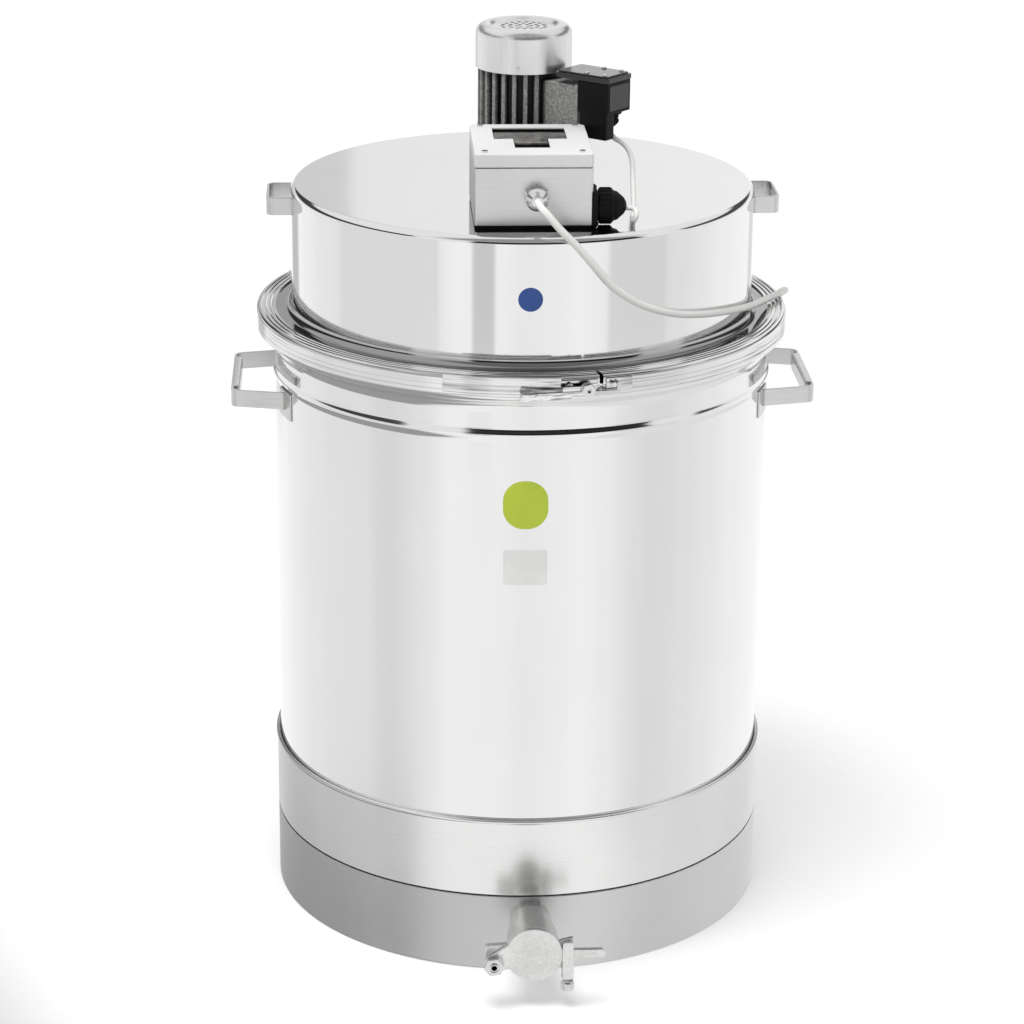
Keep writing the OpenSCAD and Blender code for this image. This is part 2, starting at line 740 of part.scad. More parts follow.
module latch_pins() color("white") {
    latch_plane(lug_r + 0.02) {
        cylinder(r = pin_r, h = lever_y + lever_t - lug_r + 0.4);
        translate([0, 0, lever_y + lever_t - lug_r + 0.4]) difference() {
            hexagon(8.4, 6);
            translate([0, 0, 2]) cylinder(r = 2.4, h = 5);
        }
    }
    latch_plane(lug_r - 1.2) translate([catch_x, catch_rise, 0])
        cylinder(r = pin_r, h = link_y + link_t - lug_r + 1.3);
}

module latch_lever() color("silver") {
    latch_plane(lever_y) difference() {
        linear_extrude(lever_t) {
            circle(r = 7.5);
            translate([-latch_arm, latch_rise]) circle(r = 5.5);
            translate([-latch_arm - 10, -6]) square([latch_arm + 12, 10]);
            translate([-lever_len, -10.5]) square([lever_len - latch_arm, 9]);
        }
        translate([0, 0, -1]) cylinder(r = pin_r + fit, h = lever_t + 2);
    }
    latch_plane(link_y - 0.2) translate([-latch_arm, latch_rise, 0]) cylinder(r = 2, h = link_t + 1.5);
}

module latch_link() color("silver") latch_plane(link_y) difference() {
    linear_extrude(link_t) {
        translate([-latch_arm, latch_rise]) circle(r = 5.2);
        translate([-latch_arm - 3, -8]) square([6, 8]);
        translate([-latch_arm - 3, -8.5]) square([catch_x + latch_arm + pin_r + 7.5, 4.5]);
        translate([catch_x + pin_r + gap, -8.5]) square([4.2, 14]);
    }
    translate([-latch_arm, latch_rise, -1]) cylinder(r = 2 + fit, h = link_t + 2);
}

// A handle for the lid, standing out along +X from the lid's wall
module lid_handle() {
    z = lid_z - 11 - strip_h;
    grip = lid_r + lid_handle_reach;
    translate([0, 0, z]) difference() {
        linear_extrude(strip_h) difference() {
            round_rect(0, grip, -lid_handle_half, lid_handle_half, 10);
            round_rect(-20, grip - strip_t, strip_t - lid_handle_half, lid_handle_half - strip_t,
                10 - strip_t);
        }
        translate([0, 0, -1]) cylinder(r = lid_r, h = strip_h + 2);
    }
}

module lid_handles() color("silver") {
    lid_handle();
    mirror([1, 0, 0]) lid_handle();
}

// Outline of the gearbox over its two axes
module box_outline(r) {
    circle(r = r);
    translate([0, centre]) circle(r = r);
    translate([-r, 0]) square([2 * r, centre]);
}

module gearbox_base() color("gray") difference() {
    union() {
        translate([0, 0, box_z]) cylinder(r = 52, h = 6);
        translate([0, 0, box_z]) linear_extrude(box_split - box_z) box_outline(box_r);
    }
    translate([0, 0, box_floor]) linear_extrude(box_split) box_outline(cave_r);
    translate([0, 0, box_z - 1]) cylinder(r = 15, h = 18);
    translate([0, centre, box_z + 8]) cylinder(r = 8, h = 12);
    base_bolt_places() translate([0, 0, -20]) cylinder(r = 3, h = 25);
}

module gearbox_cover() color("gray") difference() {
    union() {
        translate([0, 0, box_split]) linear_extrude(flange_face - box_split) box_outline(box_r);
        translate([0, 0, flange_face - 6]) cylinder(r = fin_r, h = 6);
    }
    translate([0, 0, box_split - 1]) linear_extrude(flange_face - box_split - 5) box_outline(cave_r);
    translate([0, 0, box_split]) cylinder(r = 13, h = 40);
    translate([0, centre, flange_face - 8]) cylinder(r = 8, h = 5);
}

module gearbox_bearings() color("lightsteelblue") {
    for (z = [box_z + 1, box_z + 9]) ring(15, shaft_r + fit, z, 6);
    translate([0, centre, 0]) {
        ring(8, lay_r + fit, box_z + 8, 8);
        ring(8, lay_r + fit, flange_face - 6, 3);
    }
    ring(13, rotor_r + fit, flange_face - 5, 5);
    ring(11, rotor_r + fit, fin_top - 6, 6);
}

module shaft_seal() color("black") ring(12, shaft_r + fit, lid_z - sheet - 3, sheet + 3);

module motor_housing() color("dimgray") {
    difference() {
        union() {
            ring(fin_r, 13, motor_z, 8);
            ring(housing_r, housing_in, motor_z, fin_top - motor_z);
            ring(housing_r, 11, fin_top - 6, 6);
            for (i = [0 : fin_n - 1]) rotate([0, 0, 360 * i / fin_n + term_turn + 180 / fin_n])
                block(housing_r - 2, fin_r, -1.6, 1.6, fin_z - 1, fin_top);
            rotate([0, 0, term_turn])
                block(housing_in, term_in, -term_half + 4, term_half - 4, motor_z + 8, saddle_top);
        }
        translate([0, 0, motor_z + 6]) cylinder(r = housing_in, h = fin_top - motor_z - 12);
    }
}

module stator() color("sienna") {
    ring(housing_in, core_r + 0.5, core_z, core_h);
    for (z = [core_z - 6, core_z + core_h]) ring(housing_in - 2, core_r + 4, z, 6);
}

module rotor_shaft() color("silver") {
    low = lay_gear_z - 2;
    translate([0, 0, low]) cylinder(r = rotor_r, h = cowl_z + 24 - low);
    gear(pinion_teeth, lay_gear_z - 1, gear_w + 2);
    translate([0, 0, core_z]) cylinder(r = core_r, h = core_h);
}

module cooling_fan() color("black") {
    z = cowl_z + 8;
    ring(12, rotor_r, z, 14);
    ring(30, 12, z, 2);
    for (a = [0 : 45 : 315]) rotate([0, 0, a]) block(11.5, 46, -1, 1, z + 1, z + 14);
}

module fan_cowl() color("gainsboro") {
    edge = 12;
    difference() {
        rotate_extrude() polygon(concat(
            [[cowl_r, cowl_z]],
            arc(cowl_r - edge, cowl_top - edge, edge, 0, 90, arc_steps),
            [[34, cowl_top], [30, cowl_top - 4], [0, cowl_top - 4], [0, cowl_top - 6],
                [31, cowl_top - 6], [35, cowl_top - sheet]],
            arc(cowl_r - edge, cowl_top - edge, edge - sheet, 90, 0, arc_steps),
            [[cowl_r - sheet, cowl_z]]));
        for (k = [1 : 3]) for (i = [0 : 6 * k - 1]) rotate([0, 0, 60 * i / k])
            translate([8.5 * k, 0, cowl_top - 8]) cylinder(r = 2.6, h = 10);
        cowl_screw_places() translate([0, 0, -2 * sheet]) cylinder(r = 1.6, h = 10);
    }
}

module terminal_box() color("black") rotate([0, 0, term_turn]) difference() {
    union() {
        translate([0, 0, term_z]) linear_extrude(term_h)
            round_rect(term_in, term_out, -term_half, term_half, 4);
        block(term_out - 29, term_out - 1, 1 - term_half, -7, term_z - 32, term_z + 2);
        translate([term_gland[0], term_gland[1], term_z - 10]) cylinder(r = 13, h = 11);
    }
    translate([0, 0, term_z + 3]) linear_extrude(term_h)
        round_rect(term_in + 3, term_out - 3, -term_half + 3, term_half - 3, 2);
    translate([term_gland[0], term_gland[1], term_z - 11]) cylinder(r = 7, h = 20);
}

module terminal_cover() color("black") difference() {
    rotate([0, 0, term_turn]) translate([0, 0, term_z + term_h]) {
        linear_extrude(term_lid - 2)
            round_rect(term_in - 9, term_out + 1, -term_half - 1, term_half + 1, 5);
        translate([0, 0, term_lid - 2]) linear_extrude(2)
            round_rect(term_in - 6, term_out - 2, -term_half + 2, term_half - 2, 4);
    }
    term_screw_places() translate([0, 0, -2 * term_lid]) cylinder(r = 1.7, h = 3 * term_lid);
}

module hood_gasket() color("black") difference() {
    block(-hood_x + 1, hood_x - 1, -hood_front + 1, -hood_back - 1, lid_z, hood_z);
    block(-hood_x + 12, hood_x - 12, -hood_front + 12, -hood_back - 12, lid_z - 1, hood_z + 1);
}

module hood_case() color("lightgray") difference() {
    translate([0, 0, hood_z]) linear_extrude(cover_z - hood_z)
        round_rect(-hood_x, hood_x, -hood_front, -hood_back, 3);
    translate([0, 0, hood_z + sheet]) linear_extrude(hood_h)
        round_rect(-hood_x + sheet, hood_x - sheet, -hood_front + sheet, -hood_back - sheet, 1);
    along_y(gland_x, -hood_front + 5, gland_z, 11.5, 10);
    along_x(hood_x - 5, plug_y, plug_z + 3, 12.5, 10);
}

module hood_cover() color("lightgray") difference() {
    translate([0, 0, cover_z]) linear_extrude(cover_h)
        round_rect(-hood_x, hood_x, -hood_front, -hood_back, 3);
    translate([0, 0, cover_z - 1]) linear_extrude(cover_h + 1 - sheet)
        round_rect(-hood_x + sheet, hood_x - sheet, -hood_front + sheet, -hood_back - sheet, 1);
    block(-slot_half, slot_half, -slot_front, -slot_rear, cover_z, hood_top + 1);
    block(-slot_neck, slot_neck, -neck_front, -slot_front + 8, cover_z, hood_top + 1);
    hood_screw_places() translate([0, 0, -10]) cylinder(r = 2, h = 12);
}

module hood_rail() color("dimgray") {
    under = hood_top - 3;
    post_x = rail_half - 4;
    block(-rail_half, rail_half, 1 - slot_front, -rail_rear, under, hood_top);
    block(-rail_neck, rail_neck, -rail_front, 2 - slot_front, under, hood_top);
    for (s = [-1, 1]) block(post_x * s - 4, post_x * s + 4, 12 - slot_front, -rail_rear - 12,
        hood_z + sheet, under + 1);
}

module cable_glands() {
    color("gainsboro") translate([gland_x, -hood_front, gland_z]) rotate([90, 0, 0])
        gland(14, lid_cable_r, 24);
    color("black") rotate([0, 0, term_turn])
        translate([term_gland[0], term_gland[1], term_z - 10]) rotate([180, 0, 0]) difference() {
            union() {
                translate([0, 0, -6]) cylinder(r = 6.8, h = 6);
                hexagon(11, 5);
                translate([0, 0, 5]) cylinder(r = 9.5, h = 7);
                translate([0, 0, 12]) cylinder(r1 = 9.5, r2 = 6, h = term_gland_h - 12);
            }
            translate([0, 0, -7]) cylinder(r = motor_cable_r, h = 25);
        }
}

module motor_connector() color("black") translate([hood_x, plug_y, plug_z + 3]) rotate([0, 90, 0])
    difference() {
        union() {
            translate([0, 0, -6]) cylinder(r = 12, h = 6);
            translate([-plug_r, -plug_r, 0]) cube([2 * plug_r, 2 * plug_r, 5]);
            translate([0, 0, 5]) cylinder(r = plug_r, h = 19);
            translate([0, 0, 24]) cylinder(r1 = plug_r - 3, r2 = 7, h = 15);
        }
        translate([0, 0, -7]) cylinder(r = 9, h = 20);
        translate([3, 0, 5]) cylinder(r = motor_cable_r, h = 40);
    }

module motor_cable() color("white") tube(motor_cable_pts, motor_cable_r, 3, [0, 1, 0]);
module lid_cable() color("white") tube(lid_cable_pts, lid_cable_r, 2, [1, 0, 0]);

module lid_plug() color("black") translate([socket_x, socket_y, 0]) difference() {
    union() {
        translate([0, 0, case_high - 11]) cylinder(r = 13.6, h = 32);
        translate([0, 0, case_high + 20.4]) cylinder(r = 17.5, h = 24);
        translate([0, 0, case_high + 44.4]) cylinder(r1 = 17.5, r2 = 7, h = 14);
        translate([0, 0, case_high + 58.4]) cylinder(r = 7, h = 15.6);
        for (s = [-1, 1]) translate([7 * s, 0, case_high - 24]) cylinder(r = 1.9, h = 14);
    }
}

// Places of the gearbox's bolts, and of the screws in the hood, the cowl and the terminal box
module base_bolt_places() {
    for (a = [0, 180, 240, 300]) translate([44 * cos(a), 44 * sin(a), box_z + 6]) children();
}
module hood_screw_places() {
    for (x = [-1, 1]) for (y = [-hood_front + 12, -hood_back - 12])
        translate([x * (hood_x - 12), y, hood_top]) children();
}
module cowl_screw_places() {
    for (a = [20 : 120 : 260]) rotate([0, 0, a]) translate([cowl_r, 0, cowl_z + 6])
        rotate([0, 90, 0]) children();
}
module term_screw_places() {
    rotate([0, 0, term_turn]) for (x = [term_in + 9, term_out - 9]) for (y = [-1, 1])
        translate([x, y * (term_half - 8), term_z + term_h + term_lid]) children();
}

module lid_screws() color("silver") {
    hood_screw_places() screw(1.9, 3.6, 1.8, 5);
    base_bolt_places() {
        translate([0, 0, -12]) cylinder(r = 2.8, h = 12);
        hexagon(5.6, 4.5);
    }
    cowl_screw_places() screw(1.5, 2.8, 1.6, sheet - 0.2);
    term_screw_places() screw(1.6, 3, 1.5, term_lid - 0.5);
}

// Stirrer and drive

module stirrer() color("whitesmoke") {
    translate([0, 0, stirrer_z]) cylinder(r = shaft_r, h = shaft_top - stirrer_z);
    for (arm = [[stirrer_z + 6, paddle_reach, 44], [stirrer_z + 190, paddle_reach - 50, 36]]) {
        translate([0, 0, arm[0] - 2]) cylinder(r = shaft_r + 7, h = arm[2] + 4);
        block(-arm[1], arm[1], -2.5, 2.5, arm[0], arm[0] + arm[2]);
        for (s = [-1, 1]) block(s * (arm[1] - 12) - 12, s * (arm[1] - 12) + 12, -2.5, 2.5,
            arm[0], arm[0] + arm[2] + 50);
    }
}

module output_gear() color("goldenrod") difference() {
    union() {
        gear(wheel_teeth, out_gear_z, gear_w);
        translate([0, 0, out_gear_z]) cylinder(r = 14, h = gear_w + 3);
    }
    translate([0, 0, out_gear_z - 1]) cylinder(r = shaft_r, h = gear_w + 6);
}

module layshaft_gears() color("goldenrod") translate([0, centre, 0]) {
    low = box_z + 8.5;
    translate([0, 0, low]) cylinder(r = lay_r, h = flange_face - 3.5 - low);
    gear(pinion_teeth, out_gear_z - 1, lay_gear_z - out_gear_z + 1);
    gear(wheel_teeth, lay_gear_z, gear_w);
}

// Outlet gate

module gate_plate() color("gainsboro") {
    translate([0, gate_y - gate_t, 0]) difference() {
        union() {
            along_y(0, gate_t, outlet_z, gate_r, gate_t);
            along_y(pivot_x, gate_t, pivot_z, 9, gate_t);
            block(pivot_x, -12, 0, gate_t, pivot_z - 6, pivot_z + 9);
            block(0, clamp_x + 10, 0, gate_t, tab_low, tab_high);
            translate([clamp_x + 10, 0, 0]) block(0, 33, 0, gate_t, tab_low + 4, tab_high);
            along_y(clamp_x + 43, gate_t, (tab_low + tab_high) / 2 + 2, 6, gate_t);
        }
        along_y(pivot_x, gate_t + 1, pivot_z, 4 + fit, gate_t + 2);
    }
    block(8, clamp_x - clamp_half - 2, gate_y - gate_t - 3.5, gate_y - gate_t, tab_low + 6, tab_high);
}

module gate_screw() color("silver") translate([clamp_x, gate_y - gate_t / 2, 0]) {
    low = clamp_low - 12;
    translate([0, 0, low]) cylinder(r = 3, h = tab_low - 0.4 - low);
    translate([0, 0, low]) cylinder(r = 7, h = 9);
    translate([0, 0, low + 9]) cylinder(r1 = 7, r2 = 4.5, h = 2.5);
    for (a = [0 : 30 : 330]) rotate([0, 0, a]) translate([7, 0, low + 0.5]) cylinder(r = 0.9, h = 8);
}

module thermostat_knob() color("black") translate([dial_x, case_back + sheet + 1, dial_z])
    rotate([-90, 0, 0]) difference() {
        union() {
            cylinder(r = 21, h = 3);
            translate([0, 0, 3]) cylinder(r1 = 17, r2 = 15, h = 14);
            translate([-2, 0, 3]) cube([4, 19, 14.6]);
        }
        translate([0, 0, -1]) cylinder(r = 3 + fit, h = 13);
    }

base_pan();
base_band();
outer_shell();
inner_vessel();
vessel_floor();
rim_ring();
immersion_heater();
outlet_pipe();
outlet_strainer();
valve_body();
valve_seal();
gate_pivot();
tank_handles();
control_case();
control_cover();
thermostat();
main_switch();
pilot_lamps();
mains_gland();
lid_socket();
tank_screws();
fill_neck();
drain_cock();
lid_shell();
lid_seal();
clamp_ring();
latch_pins();
lid_handles();
gearbox_base();
gearbox_cover();
gearbox_bearings();
shaft_seal();
motor_housing();
stator();
fan_cowl();
terminal_box();
terminal_cover();
hood_gasket();
hood_case();
hood_cover();
hood_rail();
cable_glands();
motor_connector();
motor_cable();
lid_cable();
lid_plug();
lid_screws();
latch_lever();
latch_link();
stirrer();
output_gear();
layshaft_gears();
rotor_shaft();
cooling_fan();
gate_plate();
gate_screw();
thermostat_knob();
switch_rocker();
fill_cap();
drain_lever();
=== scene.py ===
import math

import bpy
from bpy.props import (BoolProperty, FloatProperty, FloatVectorProperty, IntProperty,
                       PointerProperty)
from bpy.types import Operator, Panel, PropertyGroup
from mathutils import Matrix, Vector


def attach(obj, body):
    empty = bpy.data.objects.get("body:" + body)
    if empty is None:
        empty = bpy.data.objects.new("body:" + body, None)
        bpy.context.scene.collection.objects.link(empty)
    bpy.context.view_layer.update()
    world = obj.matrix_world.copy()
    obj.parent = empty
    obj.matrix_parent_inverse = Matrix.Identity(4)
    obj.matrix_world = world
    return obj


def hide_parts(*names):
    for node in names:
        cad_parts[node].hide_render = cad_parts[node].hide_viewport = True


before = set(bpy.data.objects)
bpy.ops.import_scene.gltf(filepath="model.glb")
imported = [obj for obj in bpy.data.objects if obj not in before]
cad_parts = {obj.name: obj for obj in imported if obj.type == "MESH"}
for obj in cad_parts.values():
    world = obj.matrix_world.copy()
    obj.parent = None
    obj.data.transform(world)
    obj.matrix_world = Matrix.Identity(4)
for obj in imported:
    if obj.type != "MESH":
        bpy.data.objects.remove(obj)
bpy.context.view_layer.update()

bl_info = {
    "name": "Cappings Wax Melter",
    "version": (1, 0, 0),
    "blender": (4, 5, 0),
    "location": "View3D > Sidebar > Wax Melter",
    "description": "Dresses a cappings wax melter: tank, sealed lid, stirrer drive, wiring and wax outlet",
    "category": "Add Mesh",
}

MM = 0.001
UP = (0, 0, 1)
FORWARD = (0, -1, 0)
SAME_POINT = 2e-6
UPRIGHT = Matrix.Rotation(math.pi / 2, 4, "X")
MIRROR = Matrix.Scale(-1, 4, (1, 0, 0))


# ---------------------------------------------------------------- workshop tools

def point(x, y, z):
    """A place given in millimetres."""
    return Vector((x, y, z)) * MM


def shift(x, y, z=0.0):
    """A move in millimetres, as a matrix."""
    return Matrix.Translation(point(x, y, z))


def mm(group, *keys):
    """Sizes from the panel, in millimetres."""
    return [getattr(group, key) * 1000 for key in keys]


def around(angle, radius, height):
    """A place on a circle about the tank, its angle counted from the front to the right."""
    turn = math.radians(angle - 90)
    return (radius * math.cos(turn), radius * math.sin(turn), height)


def let_go():
    """Ends edit mode and deselects everything."""
    if bpy.context.object and bpy.context.object.mode != "OBJECT":
        bpy.ops.object.mode_set(mode="OBJECT")
    bpy.ops.object.select_all(action="DESELECT")


def pick(piece):
    """Makes a piece the only selected one."""
    let_go()
    piece.select_set(True)
    bpy.context.view_layer.objects.active = piece


def settle(piece, place=None):
    """Moves a piece's place, or the place given, into its mesh."""
    if place is not None:
        piece.matrix_world = place
    pick(piece)
    bpy.ops.object.transform_apply(location=True, rotation=True, scale=True)
    return piece


def close_up():
    """Joins doubled points and turns all faces outwards."""
    bpy.ops.mesh.select_all(action="SELECT")
    bpy.ops.mesh.remove_doubles(threshold=SAME_POINT)
    bpy.ops.mesh.normals_make_consistent(inside=False)
    bpy.ops.object.mode_set(mode="OBJECT")


def wire(name, places, closed=True, filled=False):
    """One point, extruded from place to place, and left in edit mode."""
    let_go()
    bpy.ops.mesh.primitive_plane_add(size=MM)
    piece = bpy.context.object
    piece.name = piece.data.name = name
    bpy.ops.object.mode_set(mode="EDIT")
    bpy.ops.mesh.merge(type="CENTER")
    bpy.ops.transform.translate(value=places[0])
    stops = places + places[:1] if closed else places
    for start, end in zip(stops, stops[1:]):
        bpy.ops.mesh.extrude_region_move(TRANSFORM_OT_translate={"value": end - start})
    bpy.ops.mesh.select_all(action="SELECT")
    if closed:
        bpy.ops.mesh.remove_doubles(threshold=SAME_POINT)
    if filled:
        bpy.ops.mesh.edge_face_add()
    return piece


def rounded(corners, steps=4, closed=True):
    """Corners (x, y, radius), each turned into an arc."""
    path = []
    for i, corner in enumerate(corners):
        here = Vector(corner[:2])
        radius = corner[2] if len(corner) > 2 else 0
        if not radius or (not closed and i in (0, len(corners) - 1)):
            path.append(tuple(here))
            continue
        back = (Vector(corners[i - 1][:2]) - here).normalized()
        ahead = (Vector(corners[(i + 1) % len(corners)][:2]) - here).normalized()
        half = back.angle(ahead) / 2
        centre = here + (back + ahead).normalized() * radius / math.sin(half)
        first = here + back * radius / math.tan(half) - centre
        last = here + ahead * radius / math.tan(half) - centre
        sweep = math.pi - 2 * half
        for k in range(steps + 1):
            t = k / steps
            path.append(tuple(centre + first * (math.sin((1 - t) * sweep) / math.sin(sweep))
                              + last * (math.sin(t * sweep) / math.sin(sweep))))
    return path


def arc(x, y, radius, first, last, steps):
    """Points on an arc, from one angle to another."""
    turns = [math.radians(first + (last - first) * i / steps) for i in range(steps + 1)]
    return [(x + radius * math.cos(a), y + radius * math.sin(a)) for a in turns]


def frame_of(x0, x1, y0, y1, radius):
    """The four corners of a rounded rectangle."""
    return [(x0, y0, radius), (x1, y0, radius), (x1, y1, radius), (x0, y1, radius)]


def lathe(name, profile, steps=64, closed=True, start=None, sweep=360.0):
    """A profile of radius and height, spun about the upright axis."""
    turn = math.radians((start or 0) - 90)
    side = Vector((math.cos(turn), math.sin(turn), 0))
    places = [(side * r + Vector((0, 0, z))) * MM for r, z in profile]
    piece = wire(name, places, closed, filled=closed and start is not None)
    bpy.ops.mesh.spin(steps=steps, angle=-math.radians(sweep), center=(0, 0, 0), axis=UP)
    close_up()
    return piece


def slab(name, outline, low, high, edge=0.4, steps=2):
    """An outline seen from above, raised from low to high, with eased edges."""
    piece = wire(name, [point(x, y, low) for x, y in outline], filled=True)
    bpy.ops.mesh.extrude_region_move(TRANSFORM_OT_translate={"value": (0, 0, (high - low) * MM)})
    close_up()
    return ease(piece, edge, steps)


def block(name, x0, x1, y0, y1, z0, z1, edge=0.6, steps=2):
    """A block between two corners, with eased edges."""
    let_go()
    bpy.ops.mesh.primitive_cube_add(size=1, location=point(x0 + x1, y0 + y1, z0 + z1) / 2)
    piece = bpy.context.object
    piece.name = piece.data.name = name
    piece.scale = point(x1 - x0, y1 - y0, z1 - z0)
    return ease(settle(piece), edge, steps)


def bar(name, radius, low, high, edge=0.5, sides=32):
    """An upright round bar with eased ends."""
    path = rounded([(0, low), (radius, low, edge), (radius, high, edge), (0, high)], 2, closed=False)
    return lathe(name, path, sides, closed=False)


def prism(name, radius, low, high, edge=0.5, sides=6, turn=0.0):
    """An upright nut or bolt head."""
    corners = [(radius * math.cos(math.radians(turn) + i * math.tau / sides),
                radius * math.sin(math.radians(turn) + i * math.tau / sides)) for i in range(sides)]
    return slab(name, corners, low, high, edge)


def strap(name, path, low, high, thickness, edge=0.5, side=1.0):
    """A flat bar on edge, bent along a path seen from above."""
    piece = wire(name, [point(x, y, low) for x, y in path], closed=False)
    bpy.ops.mesh.extrude_region_move(TRANSFORM_OT_translate={"value": (0, 0, (high - low) * MM)})
    close_up()
    apply(piece, "SOLIDIFY", thickness=thickness * MM, offset=side, use_even_offset=True)
    pick(piece)
    bpy.ops.object.mode_set(mode="EDIT")
    close_up()
    return ease(piece, edge, 2)


def apply(piece, kind, **settings):
    """Adds a modifier, sets it and applies it."""
    pick(piece)
    bpy.ops.object.modifier_add(type=kind)
    modifier = piece.modifiers[-1]
    for key, value in settings.items():
        setattr(modifier, key, value)
    bpy.ops.object.modifier_apply(modifier=modifier.name)
    return piece


def ease(piece, width, steps=2, angle=32):
    """Rounds a piece's sharp edges."""
    if width:
        apply(piece, "BEVEL", width=width * MM, segments=steps, limit_method="ANGLE",
              angle_limit=math.radians(angle), miter_outer="MITER_ARC")
    return piece


def cut(piece, *cutters):
    """Cuts shapes out of a piece."""
    for cutter in cutters:
        apply(piece, "BOOLEAN", operation="DIFFERENCE", solver="EXACT", object=cutter)
        bpy.data.objects.remove(cutter)
    return piece


def stand(piece, at, along=UP, roll=0.0):
    """Turns a piece that was made upright at the origin, and sets it at a place."""
    turn = Vector(UP).rotation_difference(Vector(along)).to_matrix().to_4x4()
    return settle(piece, shift(*at) @ turn @ turned(roll))


def copied(piece, move):
    """A copy with its own mesh, moved by a matrix."""
    pick(piece)
    bpy.ops.object.duplicate()
    twin = settle(bpy.context.object, move)
    if move.determinant() < 0:
        bpy.ops.object.mode_set(mode="EDIT")
        close_up()
    return twin


def turned(angle):
    """A turn about the upright axis, in degrees."""
    return Matrix.Rotation(math.radians(angle), 4, "Z")


def ring_of(piece, count, first=0.0, sweep=360.0):
    """Copies of a piece round the upright axis, the piece itself among them."""
    twins = [copied(piece, turned(first + sweep * i / count)) for i in range(1, count)]
    if first:
        settle(piece, turned(first))
    return [piece] + twins


def named(piece, name):
    """Names a piece and its mesh."""
    piece.name = piece.data.name = name
    return piece


def join(name, *pieces):
    """Makes one piece of several."""
    pick(pieces[0])
    for piece in pieces[1:]:
        piece.select_set(True)
    if len(pieces) > 1:
        bpy.ops.object.join()
    return named(bpy.context.object, name)


def weld(path, radius):
    """A rippled weld bead along a path of places."""
    let_go()
    bpy.ops.curve.primitive_bezier_curve_add()
    bead = bpy.context.object
    line = bead.data
    line.splines.clear()
    spline = line.splines.new("POLY")
    spline.points.add(len(path) - 1)
    for spot, place in zip(spline.points, path):
        spot.co = (*point(*place), 1)
    for i, spot in enumerate(spline.points):
        spot.radius = 1.0 + 0.16 * (i % 2) if 0 < i < len(path) - 1 else 0.5
    line.dimensions = "3D"
    line.bevel_depth = radius * MM
    line.bevel_resolution = 2
    line.use_fill_caps = True
    bpy.ops.object.convert(target="MESH")
    return bpy.context.object


def finish(piece, body, look, replaces=(), angle=36, flat=True):
    """Smooths a piece, gives it its finish and hands it to the body that carries it."""
    pick(piece)
    bpy.ops.object.shade_smooth_by_angle(angle=math.radians(angle))
    if flat:
        apply(piece, "WEIGHTED_NORMAL", keep_sharp=True, weight=60)
    piece.data.materials.clear()
    piece.data.materials.append(finish_named(look))
    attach(piece, body)
    if replaces:
        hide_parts(*replaces)
    return piece


# ---------------------------------------------------------------- finishes

class Value:
    """A socket that takes part in sums."""

    def __init__(self, nodes, socket):
        self.nodes = nodes
        self.socket = socket

    def sum(self, operation, first, second):
        return self.nodes.node("Math", {"operation": operation}, {0: first, 1: second})

    def __add__(self, other):
        return self.sum("ADD", self, other)

    def __radd__(self, other):
        return self.sum("ADD", other, self)

    def __sub__(self, other):
        return self.sum("SUBTRACT", self, other)

    def __mul__(self, other):
        return self.sum("MULTIPLY", self, other)

    def __rmul__(self, other):
        return self.sum("MULTIPLY", other, self)


class Nodes:
    """A node tree of a material or of the sky."""

    def __init__(self, tree):
        self.tree = tree

    def fill(self, made, values):
        """Sets or links a node's sockets."""
        for key, value in values.items():
            socket = made.inputs[key]
            if isinstance(value, Value):
                self.tree.links.new(value.socket, socket)
            else:
                socket.default_value = value

    def node(self, kind, settings, values, result=0):
        """Any node: its type, its settings, its sockets and the output that is used."""
        made = self.tree.nodes.new("ShaderNode" + kind)
        for key, value in settings.items():
            if key == "stops":
                ramp = made.color_ramp.elements
                ramp[0].position, ramp[1].position = value[0][0], value[-1][0]
                ramp[0].color, ramp[1].color = (*value[0][1], 1), (*value[-1][1], 1)
                for spot, shade in value[1:-1]:
                    ramp.new(spot).color = (*shade, 1)
            else:
                setattr(made, key, value)
        self.fill(made, values)
        return Value(self, made.outputs[result])

    def axis(self, spots, index):
        """One axis of a place."""
        return self.node("SeparateXYZ", {}, {0: spots}, index)


